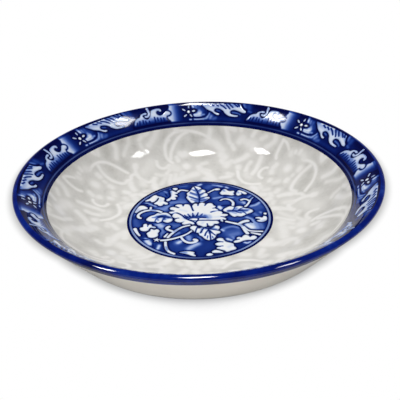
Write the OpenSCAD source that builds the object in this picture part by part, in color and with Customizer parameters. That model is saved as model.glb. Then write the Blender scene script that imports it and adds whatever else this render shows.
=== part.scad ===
// Soy sauce dish: a shallow round porcelain dish on a foot ring, with a cobalt lip, a printed wave
// border, a pale glazed well and a printed flower medallion on its flat floor.
// Millimetres, +Z up. Origin at the centre of the foot ring, on the table. The front is -Y.

/* [Dish] */
// Diameter over the lip
rim_d = 110; // [95:1:130]
// Depth from the top of the lip to the floor
well_depth = 18.4; // [15:0.1:22]
// Thickness of the floor, glaze included
floor_t = 3.8; // [3:0.1:5]
// Thickness of the rounded lip
lip_t = 2; // [1.6:0.1:2.6]
// Radius of the turn from the outer wall to the underside
belly_r = 21; // [17:0.5:29]
// Slope of the outer wall above that turn, in degrees
wall_slope = 52; // [48:1:56]
// Thickness of the glaze and of the printed coats
glaze_t = 0.3; // [0.2:0.05:0.4]

/* [Foot] */
// How far the foot ring lies in from the lip, where it meets the body
foot_inset = 24; // [21:0.5:27]
// Width of the foot ring where it meets the body
foot_w = 3.5; // [2.8:0.1:5]
// Height of the foot ring
foot_h = 2.3; // [1.6:0.1:3.5]
// How much each side of the foot ring leans in on the way down
foot_draft = 0.4; // [0.1:0.05:0.6]
// Rounding of the lower edges of the foot ring
foot_round = 0.5; // [0.3:0.05:0.7]

/* [Border] */
// How far the lower edge of the border lies in from the lip
border_w = 8.5; // [7:0.1:11]
// Drop of that lower edge below the top of the lip
border_drop = 6.7; // [5.5:0.1:8]
// Width of the dark line along the lower edge
border_edge_w = 1.1; // [0.7:0.1:1.4]
// Width of the pale line beside it
border_line_w = 0.5; // [0.3:0.05:0.7]
// Repeats of the wave pattern round the dish
repeats = 7; // [6:1:9]
// Direction of the first blossom, in degrees
first_blossom = 93; // [0:1:360]
// Drop of the cobalt band on the outside, below the top of the lip
band_drop = 4.7; // [3.5:0.1:6]
// Radius of the ring of petals in a blossom
blossom_r = 1.9; // [1.6:0.1:2.1]
// Half length of a blossom petal
petal_l = 0.85; // [0.6:0.05:0.95]
// Half width of a blossom petal
petal_w = 0.5; // [0.3:0.05:0.55]
// Diameter of a blossom's heart
heart_d = 1.1; // [0.7:0.1:1.4]

/* [Medallion] */
// Diameter of the medallion
medallion_d = 47; // [42:0.5:50]
// Flat floor left round the medallion
medallion_gap = 0.4; // [0.2:0.05:1]
// Width of the dark ring at the edge
ring_edge_w = 0.8; // [0.5:0.1:1.2]
// Width of the pale ring inside it
ring_line_w = 0.6; // [0.3:0.05:0.8]
// Width of the scroll stems
vine_w = 0.8; // [0.5:0.05:1]
// Height of the white motifs above the print
relief_t = 0.15; // [0.1:0.01:0.2]

/* [Hidden] */
$fn = 48;
arc_steps = 14;
lip_steps = 16;
foot_steps = 5;

height = well_depth + floor_t + foot_h;
floor_z = height - well_depth;
rim_r = rim_d / 2;
foot_r = rim_r - foot_inset;
foot_in = foot_r - foot_w;

// Lip circle and the lower edge of the border
lip_r = lip_t / 2;
lip_c = [rim_r - lip_r, height - lip_r];
border_p = [rim_r - border_w, height - border_drop];
to_lip = lip_c - border_p;
border_slope = atan2(to_lip.y, to_lip.x) + asin(lip_r / norm(to_lip));
border_len = sqrt(to_lip * to_lip - lip_r * lip_r);

// Medallion rings and the arc of the well, which rises from the flat floor to the border
medallion_r = medallion_d / 2;
ring_out = medallion_r - ring_edge_w;
ring_in = ring_out - ring_line_w;
flat_r = medallion_r + medallion_gap;
well_dr = border_p.x - flat_r;
well_dz = border_p.y - floor_z;
well_r = (well_dr * well_dr + well_dz * well_dz) / (2 * well_dz);
well_slope = 2 * atan2(well_dz, well_dr);

// Outer wall: straight down from the lip, then a turn that ends at the top of the foot ring
wall_up = [cos(wall_slope), sin(wall_slope)];
wall_in = [-sin(wall_slope), cos(wall_slope)];
wall_top = lip_c - lip_r * wall_in;
foot_p = [foot_r, foot_h];
foot_off = (foot_p - wall_top) * wall_in;
turn_run_up = sqrt(belly_r * belly_r - (belly_r - foot_off) * (belly_r - foot_off));
turn_p = wall_top + ((foot_p - wall_top) * wall_up + turn_run_up) * wall_up;
turn_c = turn_p + belly_r * wall_in;
turn_end = atan2(foot_p.y - turn_c.y, foot_p.x - turn_c.x);
band_p = wall_top - (band_drop + wall_top.y - height) / sin(wall_slope) * wall_up;

function arc(c, r, from, to, n) =
    [for (i = [0:n]) c + r * [cos(from + (to - from) * i / n), sin(from + (to - from) * i / n)]];
function border_at(s) = border_p + s * [cos(border_slope), sin(border_slope)];

// Finished surface from the centre of the floor, over the lip and down to the foot ring
floor_run = [[0, floor_z], [ring_in, floor_z], [ring_out, floor_z], [medallion_r, floor_z]];
well_run = arc([flat_r, floor_z + well_r], well_r, -90, well_slope - 90, arc_steps);
border_run = [border_at(border_edge_w), border_at(border_edge_w + border_line_w)];
lip_run = arc(lip_c, lip_r, 90 + border_slope, wall_slope - 90, lip_steps);
side_run = [band_p];
turn_run = arc(turn_c, belly_r, wall_slope - 90, turn_end, arc_steps);
skin = concat(floor_run, well_run, border_run, lip_run, side_run, turn_run);

// Places along that surface where one coat meets the next
at_ring_in = 1;
at_ring_out = 2;
at_medallion = 3;
at_border = len(floor_run) + len(well_run) - 1;
at_line_in = at_border + 1;
at_line_out = at_border + 2;
at_lip = at_border + 3;
at_band = at_lip + len(lip_run);
at_foot = len(skin) - 1;

// The clay surface lies one coat below the finished surface
function unit(v) = v / norm(v);
function step(i) = unit(skin[min(max(i, 0), at_foot - 1) + 1] - skin[min(max(i, 0), at_foot - 1)]);
function along(i) = unit(step(i - 1) + step(i));
clay = [for (i = [0:at_foot]) skin[i] + glaze_t * [along(i).y, -along(i).x]];

module coat(from, to) {
    over = [for (i = [from:to]) skin[i]];
    under = [for (i = [to:-1:from]) clay[i]];
    rotate_extrude() polygon(concat(over, under));
}

module porcelain_body() {
    seat = [skin[at_foot], [foot_in, foot_h], [foot_in, foot_h + glaze_t], [0, foot_h + glaze_t]];
    color("#e6e2da") rotate_extrude() polygon(concat(clay, seat));
}

module foot_ring() {
    outer = arc([foot_r - foot_draft - foot_round, foot_round], foot_round, 0, -90, foot_steps);
    inner = arc([foot_in + foot_draft + foot_round, foot_round], foot_round, -90, -180, foot_steps);
    ends = [[foot_in, foot_h], [foot_r, foot_h]];
    color("#d9d0c2") rotate_extrude() polygon(concat(outer, inner, ends));
}

module base_glaze() {
    color("#d6d2c8") translate([0, 0, foot_h]) cylinder(h = glaze_t, r = foot_in);
}

module outer_glaze() {
    color("#cfcac0") coat(at_band, at_foot);
}

module well_glaze() {
    color("#dcdad4") coat(at_medallion, at_border);
}

module lip_band() {
    color("#10173f") coat(at_lip, at_band);
}

module border_print() {
    color("#1b2d75") {
        coat(at_border, at_line_in);
        coat(at_line_out, at_lip);
    }
}

module border_line() {
    color("#5c76b4") coat(at_line_in, at_line_out);
}

module medallion_print() {
    color("#1f3688") {
        coat(0, at_ring_in);
        coat(at_ring_out, at_medallion);
    }
}

module medallion_line() {
    color("#8ba3d6") coat(at_ring_in, at_ring_out);
}

// Smooth closed outline through a list of points
function pt(p, i) = p[(i + len(p)) % len(p)];
function bend(a, b, c, d, t) =
    b + (c - a) * t / 2 + (2 * a - 5 * b + 4 * c - d) * t ^ 2 / 2
    + (3 * b - a - 3 * c + d) * t ^ 3 / 2;
function smooth(p, n) =
    [for (i = [0:len(p) - 1], j = [0:n - 1]) bend(pt(p, i - 1), pt(p, i), pt(p, i + 1), pt(p, i + 2), j / n)];

// Border motifs are drawn flat, in degrees along the border and millimetres up its slope, for
// seven repeats on a border of the drawn width. They stretch to the pitch and width set above.
drawn_pitch = 360 / 7;
drawn_len = 9.4;
motif_margin = 0.15;
motif_foot = border_edge_w + border_line_w + motif_margin;
motif_span = border_len - motif_foot - motif_margin;
drawn_foot = 2.2;
drawn_span = drawn_len - drawn_foot;
mm_per_deg = PI / 180 * (border_p.x + border_len / 2 * cos(border_slope));
pitch_scale = (360 / repeats) / drawn_pitch;
function up_border(v) = motif_foot + (v - drawn_foot) / drawn_span * motif_span;
function on_border(p) = [for (q = p) [q.x * mm_per_deg * pitch_scale, up_border(q.y)]];

// A crest hangs from the lip. Its middle lies this many degrees clockwise of a blossom.
crest_deg = 16.3;
crest_outline = [
    [-11, 8.9], [-9.4, 7.2], [-7, 5.9], [-5.4, 4.9], [-4.2, 4.5], [-3.5, 4.9], [-4.8, 5.3], [-5.9, 6.3],
    [-5, 7.2], [-2.8, 6.8], [-1, 5.2], [1.2, 4.2], [4.2, 4], [4.6, 4.6], [2, 5], [1.1, 6], [2.4, 6.9],
    [5, 6.5], [7.4, 6], [7.8, 6.6], [6.4, 7.6], [5.4, 9.2], [0, 9], [-6, 9.1]
];

// A wave rises from the lower edge. Its middle lies this many degrees anticlockwise of a blossom.
wave_deg = 17.7;
wave_outline = [
    [-8.6, 2.4], [-7.9, 4.3], [-6.4, 5.8], [-4.8, 6.4], [-3.6, 7.4], [-1.7, 7.8], [-1.5, 7.2], [-3, 7],
    [-3, 5.8], [-1.4, 4.9], [0, 6.2], [1, 8.2], [3, 8.7], [5, 8.3], [4.9, 7.5], [3.5, 7.7], [2.9, 6.8],
    [4.2, 5.8], [6, 6.3], [7.4, 7.1], [8.8, 6.4], [8.4, 5.5], [6.9, 4.9], [7.1, 3.4], [7.7, 2.4], [0, 2.4]
];

// A motif stands upright on the slope of the border, and the thin layer over the print cuts it off
patch_below = 1;
patch_above = 2;
module border_patch(angle) {
    rotate(angle) translate([border_p.x, 0, border_p.y]) rotate([0, -border_slope, 0]) rotate(-90)
        translate([0, 0, -patch_below]) linear_extrude(patch_below + patch_above) children();
}

module border_layer() {
    up = relief_t * [-sin(border_slope), cos(border_slope)];
    from = border_at(motif_foot - motif_margin);
    to = border_at(border_len);
    rotate_extrude() polygon([from, to, to + up, from + up]);
}

module round_border(turn) {
    intersection() {
        border_layer();
        for (i = [0:repeats - 1])
            border_patch(first_blossom + turn * pitch_scale + i * 360 / repeats) children();
    }
}

module border_crests() {
    color("#e8ecf4") round_border(-crest_deg) polygon(smooth(on_border(crest_outline), 2));
}

module border_waves() {
    color("#dfe6f2") round_border(wave_deg) polygon(smooth(on_border(wave_outline), 2));
}

// A blossom has a round heart at this height on the drawn border and a ring of oval petals
petals = 5;
blossom_v = 6;
function petal_at(k) = 90 + k * 360 / petals;
function petal(k) =
    [for (a = [0:20:340]) let (x = blossom_r + petal_l * cos(a), y = petal_w * sin(a), t = petal_at(k))
        [x * cos(t) - y * sin(t), up_border(blossom_v) + x * sin(t) + y * cos(t)]];

module border_blossoms() {
    color("#b9c8ea") round_border(0) {
        translate([0, up_border(blossom_v)]) circle(d = heart_d);
        for (k = [0:petals - 1]) polygon(petal(k));
    }
}

// Medallion motifs are drawn for a field of the drawn radius and stretch to the field set above.
drawn_field = 21.8;
field_scale = (ring_in - motif_margin) / drawn_field;

module on_medallion() {
    translate([0, 0, floor_z]) linear_extrude(relief_t) scale(field_scale) children();
}

petal_west_top = [
    [-2.6, 2], [-2.6, 4.2], [-3.2, 7.4], [-4.4, 7.9], [-5.6, 6.9], [-6.8, 7.8], [-7.9, 7.2], [-7.7, 5.9],
    [-9.2, 6.3], [-9.7, 5.2], [-8.7, 4.5], [-9.8, 3.5], [-8.8, 2.7], [-7, 2.6], [-5, 1.6]
];
petal_east_top = [
    [-2.1, 2], [-2.2, 6.6], [-1.6, 7.9], [-0.6, 7.7], [0, 6.8], [0.6, 8.3], [1.5, 8.3], [2.1, 7.1],
    [3.2, 8.1], [4.4, 7.7], [4.5, 6.6], [5.4, 6], [5.1, 5.1], [5.9, 4], [5, 3.2], [2.6, 1.8], [0.4, 1.9]
];
petal_east = [
    [5.5, 2.8], [6.6, 3], [7.4, 1.9], [7, 0.9], [8.7, 0.8], [9, 0], [7.8, -0.6], [8.3, -2.1], [7.2, -2.4],
    [6.4, -3], [4.7, -2.3], [2.7, -1.6], [3.2, 0], [3, 1.4]
];
petal_south = [
    [-0.7, -2.7], [2.7, -2.7], [5.9, -3.4], [6.2, -4.1], [4.9, -4.5], [3.8, -5.6], [2.8, -4.9], [1.9, -5.7],
    [1, -5.3], [-0.4, -5.1], [-0.9, -3.8]
];
petal_west = [
    [-8.4, 2], [-7, 1.9], [-5.8, 0.4], [-4.5, -1.5], [-2.8, -2.8], [-1.6, -3.6], [-1.9, -4.4], [-3, -4],
    [-4.1, -4.5], [-5.3, -4], [-5.5, -2.8], [-6.8, -2.8], [-8.1, -1.9], [-7.9, -0.6], [-8.7, 0.5]
];

// The small disc at the heart of the flower
pistil = [-1.6, -1.5];
pistil_d = 1.5;

module medallion_flower() {
    color("#f2f3f3") on_medallion() {
        for (p = [petal_west_top, petal_east_top, petal_east, petal_south, petal_west])
            polygon(smooth(p, 3));
        translate(pistil) circle(d = pistil_d);
    }
}

// A leaf from its base to its tip
leaf_steps = 10;
function leaf_half(w, t) = w / 2 * sin(180 * t ^ 0.8);
function leaf(base, tip, w) =
    let (d = tip - base, n = unit([-d.y, d.x]))
    concat(
        [for (i = [0:leaf_steps]) base + d * i / leaf_steps + n * leaf_half(w, i / leaf_steps)],
        [for (i = [leaf_steps - 1:-1:1]) base + d * i / leaf_steps - n * leaf_half(w, i / leaf_steps)]
    );
leaves = [
    [[0, 9], [-1, 20], 7.2],
    [[-9.4, 0.3], [-17.6, -0.3], 5.4],
    [[7.6, 3.6], [17.3, 1.9], 5.4],
    [[1.6, -6.2], [3.1, -13.4], 7.2]
];

module medallion_leaves() {
    color("#e3e8f2") on_medallion() for (l = leaves) polygon(leaf(l[0], l[1], l[2]));
}

// A small lobed flower: its place, its radius and its turn
sprig_lobes = 5;
lobe_depth = 0.4;
function sprig(s) =
    [for (a = [0:9:351]) [s.x, s.y] + s[2] * (1 - lobe_depth + lobe_depth * abs(cos(sprig_lobes * a / 2)))
        * [cos(a + s[3]), sin(a + s[3])]];
sprigs = [
    [-15.6, 12.6, 2, 20], [-12.6, 9.4, 2, 60], [-8.6, 15.2, 1.8, 0], [-18.8, 6.6, 1.6, 40],
    [-17, -5.2, 2.1, 10], [-14.6, -9.3, 2.1, 50], [7, -17, 3, 30], [13.4, -13.4, 2.4, 0],
    [19.4, -2.7, 1.8, 15], [9.5, 14.7, 2.2, 45], [13.9, 13.7, 1.9, 5], [-3.4, -19.5, 1.5, 20],
    [2.3, -19.8, 1.3, 20]
];

module medallion_sprigs() {
    color("#eceff3") on_medallion() for (s = sprigs) polygon(sprig(s));
}

// A scroll stem: centre of its arc, radius, first and last angle
vine_steps = 12;
function vine(v) = concat(
    arc([v[0], v[1]], v[2] + vine_w / 2, v[3], v[4], vine_steps),
    arc([v[0], v[1]], v[2] - vine_w / 2, v[4], v[3], vine_steps)
);
vines = [
    [-16.3, 1.7, 3.2, 60, 195],
    [8.9, 8, 2.4, -30, 135],
    [7.2, -11.4, 7.4, 8, 84],
    [-2.8, -13.6, 8.2, 100, 160],
    [-12.2, -3, 9.8, -84, -36],
    [-3.9, -12.1, 2.1, 165, 350],
    [24.5, 5, 8.2, 142, 180],
    [-4.8, -15.2, 5.9, 170, 228]
];

module medallion_vines() {
    color("#c9d6f0") on_medallion() for (v = vines) polygon(vine(v));
}

porcelain_body();
foot_ring();
base_glaze();
outer_glaze();
well_glaze();
lip_band();
border_print();
border_line();
border_crests();
border_waves();
border_blossoms();
medallion_print();
medallion_line();
medallion_flower();
medallion_leaves();
medallion_sprigs();
medallion_vines();
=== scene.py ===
import math

import bpy
import numpy as np
from mathutils import Matrix, Vector
from mathutils.geometry import delaunay_2d_cdt


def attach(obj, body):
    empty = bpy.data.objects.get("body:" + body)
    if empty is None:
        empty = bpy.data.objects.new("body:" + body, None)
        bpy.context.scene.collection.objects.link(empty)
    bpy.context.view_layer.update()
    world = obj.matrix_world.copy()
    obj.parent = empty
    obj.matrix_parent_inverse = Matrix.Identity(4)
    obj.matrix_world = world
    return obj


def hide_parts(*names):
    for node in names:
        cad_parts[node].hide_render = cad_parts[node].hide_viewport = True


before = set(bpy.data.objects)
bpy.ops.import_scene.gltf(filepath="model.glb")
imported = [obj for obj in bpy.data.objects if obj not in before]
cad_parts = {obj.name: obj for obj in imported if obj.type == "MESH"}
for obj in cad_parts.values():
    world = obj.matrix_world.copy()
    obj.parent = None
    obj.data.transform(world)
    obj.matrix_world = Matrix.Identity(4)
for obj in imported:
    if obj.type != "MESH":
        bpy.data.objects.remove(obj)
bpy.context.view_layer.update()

# Sizes, in millimetres
MM = 0.001
FLOOR_Z = 6.1               # face of the floor inside the dish
MEDALLION_R = 23.5
RING_IN, RING_OUT = 22.1, 22.7    # pale ring near the edge of the medallion
COAT = 0.3                  # thickness of glaze and print
RISE = 0.06                 # how far the white enamel stands up
EDGE_WIDE = 0.35            # width of its rounded edge
EDGE_BLUE = 0.22            # tone that the blue round it lends its edge
EDGE_TINT = 0.26            # how far in that tone reaches
ENAMEL_SIT = 0.015          # how far its edge stands above the ground
SKIRT = 0.06                # how far it is sunk into the ground below it
WELL_FLAT = 0.4             # flat floor beyond the medallion
WELL_R = 27.68              # radius of the well's curve
WELL_TURN = math.radians(54.74)
WELL_LENGTH = WELL_FLAT + WELL_R * WELL_TURN
BORDER_FOOT = (46.5, 17.8)  # radius and height of the border's lower edge
BORDER_LENGTH = 10.0
# slope in degrees by mm up the border
BORDER_SLOPES = ((0, 53.76), (4.0, 43.2), (8.2, 38.7), (9.62, 31.2), (BORDER_LENGTH, 31.2))
SWELL_DROP = 0.16           # how far down the slope the middle of the print is drawn
LINE_LOW, LINE_HIGH = 1.1, 1.6    # pale line near the border's lower edge
LIP_START = (53.807, 24.552)      # where the border ends and the lip begins
WALL_SLOPE = math.radians(52)     # of the outside under the lip
BAND_LONG = 3.2             # the cobalt band, down the wall from the lip
BELLY_R = 21.0              # radius of the outside's curve above the foot
FOOT_OUT, FOOT_IN, FOOT_H = 31.0, 27.5, 2.3

REPEATS = 7                 # blossoms round the border
SECTOR = 2 * math.pi / REPEATS
BLOSSOM_AT = math.radians(92.3)   # the one at the back
BORDER_MID_R = 50.0         # radius half way up the border
ARC = math.radians(1) * BORDER_MID_R     # millimetres per degree there
SCROLLS = 3                 # repeats of the scroll in the well
SCROLL_FROM, SCROLL_TURN = 88.0, 120.0   # start and length of the first, in degrees

SOFT, CRISP = 2, 4          # how sharply the edge of a wash or of an ink line ends
OUTLINE_STEP = 0.2          # spacing of the points of an enamel outline
BRUSH_STEP, STEM_STEP = 0.4, 0.25    # the same of a brush stroke and of a stem
FLOOR_PITCH, BORDER_PITCH, GROUND_PITCH = 0.24, 0.26, 0.25   # size of the triangles of enamel and ground
FLOOR_DIP, BORDER_DIP = 0.03, 0.02   # how much lower the enamel lies under the darkest ink
OUTLINE_REACH = 2.0         # how far the dark line round a white shape is looked for
# tones of the blue ground, from 0 to 1, and how wide its dark outlines and edge are
GROUND_TONE, OUTLINE_TONE, GROUND_EDGE_TONE = 0.8, 0.97, 0.92
FLOOR_OUTLINE, BORDER_OUTLINE, GROUND_EDGE_WIDE = 0.62, 0.58, 0.5
MAP_FACE, MAP_BACK = (0.02, 0.9), (0.94, 0.05)   # a strip's face and back on its map: start and height


# Lines and brush strokes
def curve_through(points, step, closed=False):
    """Smooth line through given points, cut into steps of about that length."""
    p = np.array(points, float)
    if len(p) < 3 and not closed:
        n = max(2, int(np.linalg.norm(p[-1] - p[0]) / step) + 1)
        return p[0] + (p[-1] - p[0]) * np.linspace(0, 1, n)[:, None]
    if closed:
        q = np.vstack([p[-1], p, p[0], p[1]])
    else:
        q = np.vstack([2 * p[0] - p[1], p, 2 * p[-1] - p[-2]])
    out = []
    for a, b, c, d in zip(q, q[1:], q[2:], q[3:]):
        n = max(1, int(round(np.linalg.norm(c - b) / step)))
        t = (np.arange(n) / n)[:, None]
        m, k = (c - a) / 2, (d - b) / 2
        longest = np.linalg.norm(c - b)
        for v in (m, k):
            size = np.linalg.norm(v)
            if size > longest:
                v *= longest / size
        out.append((2 * t**3 - 3 * t**2 + 1) * b + (t**3 - 2 * t**2 + t) * m
                   + (3 * t**2 - 2 * t**3) * c + (t**3 - t**2) * k)
    if not closed:
        out.append(p[-1:])
    return np.vstack(out)


def distance(spots, line, closed=False, reach=None):
    """Distance from each spot to a line, or reach where it is further than that."""
    ends = np.vstack([line, line[:1]]) if closed else line
    if len(ends) == 1:
        ends = np.vstack([ends, ends])
    far = np.full(len(spots), 1e3 if reach is None else float(reach))
    pick = np.arange(len(spots))
    if reach is not None:
        near = ((spots > ends.min(0) - reach) & (spots < ends.max(0) + reach)).all(1)
        pick = pick[near]
        if not len(pick):
            return far
    p = spots[pick]
    best = np.full(len(p), 1e9)
    for a, b in zip(ends, ends[1:]):
        ab = b - a
        t = np.clip((p - a) @ ab / max(ab @ ab, 1e-12), 0, 1)
        gap = p - a - t[:, None] * ab
        best = np.minimum(best, (gap * gap).sum(1))
    far[pick] = np.minimum(far[pick], np.sqrt(best))
    return far


def inside(spots, outline):
    """Which spots lie inside a closed outline."""
    x, y = spots[:, 0], spots[:, 1]
    held = np.zeros(len(spots), bool)
    for (ax, ay), (bx, by) in zip(outline, np.roll(outline, -1, 0)):
        if ay != by:
            crosses = (ay > y) != (by > y)
            held ^= crosses & (x < ax + (y - ay) / (by - ay) * (bx - ax))
    return held


def paint(spots, tone, strokes, hard):
    """Lays strokes (tone, half width, points) over a tone of 0, white, to 1, darkest blue."""
    for target, width, points in strokes:
        line = curve_through(points, BRUSH_STEP) if len(points) > 1 else np.array(points, float)
        cover = np.exp(-(distance(spots, line, reach=3 * width) / width) ** hard)
        tone = tone + (target - tone) * cover
    return tone


def gap_to(spots, outlines):
    """Distance from each spot to the nearest outline."""
    return np.min([distance(spots, outline, True, OUTLINE_REACH) for outline in outlines], axis=0)


def ribbon(points, start, end):
    """Outline of a brush stroke that is start wide at one end and end wide at the other."""
    line = curve_through(points, STEM_STEP)
    way = np.gradient(line, axis=0)
    way /= np.linalg.norm(way, axis=1)[:, None]
    side = np.c_[-way[:, 1], way[:, 0]]
    half = np.linspace(start, end, len(line))[:, None] / 2
    turn = np.linspace(0, math.pi, 6)[1:-1, None]
    nose = line[-1] + half[-1] * (side[-1] * np.cos(turn) + way[-1] * np.sin(turn))
    tail = line[0] + half[0] * (-side[0] * np.cos(turn) - way[0] * np.sin(turn))
    return np.vstack([line + half * side, nose, (line - half * side)[::-1], tail])


def blot(x, y, wide, high):
    """Outline of a small oval dot."""
    a = np.linspace(0, 2 * math.pi, 14, endpoint=False)
    return np.c_[x + wide / 2 * np.cos(a), y + high / 2 * np.sin(a)]


# Meshes
def triangles_in(outline, pitch):
    """Even triangles that fill an outline: spots, corners, and distance of each spot to the edge."""
    low, high = outline.min(0), outline.max(0)
    rows = np.arange(low[1] + pitch / 2, high[1], pitch * 0.866)
    columns = np.arange(low[0], high[0], pitch)
    grid = [(x + (i % 2) * pitch / 2, y) for i, y in enumerate(rows) for x in columns]
    grid = np.array(grid) if grid else np.zeros((0, 2))
    if len(grid):
        grid = grid[inside(grid, outline)]
    if len(grid):
        grid = grid[distance(grid, outline, closed=True) > pitch * 0.55]
    spots = np.vstack([outline, grid])
    count = len(outline)
    edges = [(i, (i + 1) % count) for i in range(count)]
    got = delaunay_2d_cdt([Vector(s) for s in spots], edges, [], 1, 1e-6)
    spots = np.array([tuple(s) for s in got[0]])
    corners = [tuple(f) for f in got[2]]
    return spots, corners, distance(spots, outline, closed=True)


def solid_patch(spots, corners, top, under, flat):
    """Closed solid from a triangulated patch. top and under are the places of its faces, flat its map."""
    n = len(spots)
    a, b, c = (spots[[f[i] for f in corners]] for i in range(3))
    turned = (b[:, 0] - a[:, 0]) * (c[:, 1] - a[:, 1]) - (b[:, 1] - a[:, 1]) * (c[:, 0] - a[:, 0]) < 0
    corners = [f[::-1] if t else f for f, t in zip(corners, turned)]
    rim = {(f[i], f[(i + 1) % 3]) for f in corners for i in range(3)}
    rim = sorted((i, j) for i, j in rim if (j, i) not in rim)
    faces = list(corners) + [tuple(i + n for i in f[::-1]) for f in corners]
    faces += [(j, i, i + n, j + n) for i, j in rim]
    # the underside and the edge take small corners of the map
    corner_low, shrink = np.array([0.93, 0.005]), 0.06
    maps = []
    for f in faces:
        if len(f) == 3 and f[0] < n:
            maps += [flat[i] for i in f]
        elif len(f) == 3:
            maps += [corner_low + shrink * flat[i - n] for i in f]
        else:
            maps += [corner_low + (0, 0.07) + shrink * flat[i % n] + (0, 0.002 * (i >= n)) for i in f]
    return np.vstack([top, under]), faces, np.array(maps)


def joined(parts):
    """Several (places, faces, maps, tones) as one."""
    places, faces, maps, tones, start = [], [], [], [], 0
    for p, f, m, t in parts:
        places.append(p)
        faces += [tuple(i + start for i in face) for face in f]
        maps.append(m)
        tones.append(t)
        start += len(p)
    return np.vstack(places), faces, np.vstack(maps), np.concatenate(tones)


def set_tone(mesh, tones):
    """Keeps the tone of the brushwork at each point of a mesh."""
    kept = mesh.attributes.new("tone", "FLOAT", "POINT")
    kept.data.foreach_set("value", np.asarray(tones, np.float32))


def make_piece(name, places, faces, maps=None, tones=None):
    """A mesh object from places in millimetres."""
    mesh = bpy.data.meshes.new(name)
    mesh.from_pydata([tuple(p) for p in np.asarray(places) * MM], [], faces)
    if tones is not None:
        set_tone(mesh, tones)
    if maps is not None:
        mesh.uv_layers.new(name="OFBake").data.foreach_set("uv", np.asarray(maps, np.float32).ravel())
    piece = bpy.data.objects.new(name, mesh)
    bpy.context.scene.collection.objects.link(piece)
    return piece


def worked(tree, operation, *values, clamp=False):
    """One step of arithmetic on values that are numbers or outputs of other nodes."""
    node = tree.nodes.new("ShaderNodeMath")
    node.operation, node.use_clamp = operation, clamp
    for socket, value in zip(node.inputs, values):
        if isinstance(value, (int, float)):
            socket.default_value = value
        else:
            tree.links.new(value, socket)
    return node.outputs[0]


def ranged(tree, value, values, smooth=True):
    """A value carried from one range to another, eased at both ends if smooth."""
    carry = tree.nodes.new("ShaderNodeMapRange")
    carry.interpolation_type = "SMOOTHSTEP" if smooth else "LINEAR"
    for label, number in zip(("From Min", "From Max", "To Min", "To Max"), values):
        carry.inputs[label].default_value = number
    tree.links.new(value, carry.inputs["Value"])
    return carry


def new_tree(name, inputs):
    """An empty Geometry Nodes tree with a geometry input and output, and named inputs for its sizes."""
    tree = bpy.data.node_groups.new(name, "GeometryNodeTree")
    tree.interface.new_socket("Geometry", in_out="INPUT", socket_type="NodeSocketGeometry")
    for label, kind in inputs:
        tree.interface.new_socket(label, in_out="INPUT", socket_type=kind)
    tree.interface.new_socket("Geometry", in_out="OUTPUT", socket_type="NodeSocketGeometry")
    return tree, tree.nodes.new("NodeGroupInput"), tree.nodes.new("NodeGroupOutput")


def end_tree(tree, geometry, given, out):
    """Realises what the tree made, closes its seams and gives it its finish."""
    real = tree.nodes.new("GeometryNodeRealizeInstances")
    merge = tree.nodes.new("GeometryNodeMergeByDistance")
    finish = tree.nodes.new("GeometryNodeSetMaterial")
    merge.inputs["Distance"].default_value = 2e-6
    tree.links.new(geometry, real.inputs["Geometry"])
    tree.links.new(real.outputs["Geometry"], merge.inputs["Geometry"])
    tree.links.new(merge.outputs["Geometry"], finish.inputs["Geometry"])
    tree.links.new(given.outputs["Material"], finish.inputs["Material"])
    tree.links.new(finish.outputs["Geometry"], out.inputs["Geometry"])


def ring_repeat_tree():
    """Sets a sector of the dish round its axis, Count times."""
    tree, given, out = new_tree("ring of sectors", [
        ("Count", "NodeSocketInt"), ("Material", "NodeSocketMaterial")])
    points = tree.nodes.new("GeometryNodePoints")
    index = tree.nodes.new("GeometryNodeInputIndex")
    turn = tree.nodes.new("ShaderNodeCombineXYZ")
    copies = tree.nodes.new("GeometryNodeInstanceOnPoints")
    link = tree.links.new
    link(given.outputs["Count"], points.inputs["Count"])
    step = worked(tree, "DIVIDE", 2 * math.pi, given.outputs["Count"])
    link(worked(tree, "MULTIPLY", step, index.outputs[0]), turn.inputs["Z"])
    link(points.outputs[0], copies.inputs["Points"])
    link(given.outputs["Geometry"], copies.inputs["Instance"])
    link(turn.outputs[0], copies.inputs["Rotation"])
    end_tree(tree, copies.outputs[0], given, out)
    return tree


def turned_tree():
    """Turns a section about the axis of the dish: the section follows a circle of the given radius."""
    tree, given, out = new_tree("turned section", [
        ("Segments", "NodeSocketInt"), ("Path Radius", "NodeSocketFloat"),
        ("Material", "NodeSocketMaterial")])
    section = tree.nodes.new("GeometryNodeMeshToCurve")
    circle = tree.nodes.new("GeometryNodeCurvePrimitiveCircle")
    upright = tree.nodes.new("GeometryNodeSetCurveNormal")
    upright.mode = "Z_UP"
    sweep = tree.nodes.new("GeometryNodeCurveToMesh")
    link = tree.links.new
    link(given.outputs["Geometry"], section.inputs["Mesh"])
    link(given.outputs["Segments"], circle.inputs["Resolution"])
    link(given.outputs["Path Radius"], circle.inputs["Radius"])
    link(circle.outputs["Curve"], upright.inputs["Curve"])
    link(upright.outputs["Curve"], sweep.inputs["Curve"])
    link(section.outputs["Curve"], sweep.inputs["Profile Curve"])
    end_tree(tree, sweep.outputs["Mesh"], given, out)
    return tree


def grow(piece, tree, **sizes):
    """Runs a tree on a piece and keeps the result as its plain mesh."""
    modifier = piece.modifiers.new(tree.name, "NODES")
    modifier.node_group = tree
    for item in tree.interface.items_tree:
        if item.item_type == "SOCKET" and item.in_out == "INPUT" and item.name.replace(" ", "_") in sizes:
            modifier[item.identifier] = sizes[item.name.replace(" ", "_")]
    depsgraph = bpy.context.evaluated_depsgraph_get()
    mesh = bpy.data.meshes.new_from_object(piece.evaluated_get(depsgraph), preserve_all_data_layers=True,
                                           depsgraph=depsgraph)
    piece.modifiers.remove(modifier)
    old, piece.data = piece.data, mesh
    bpy.data.meshes.remove(old)
    mesh.name = piece.name


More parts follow.
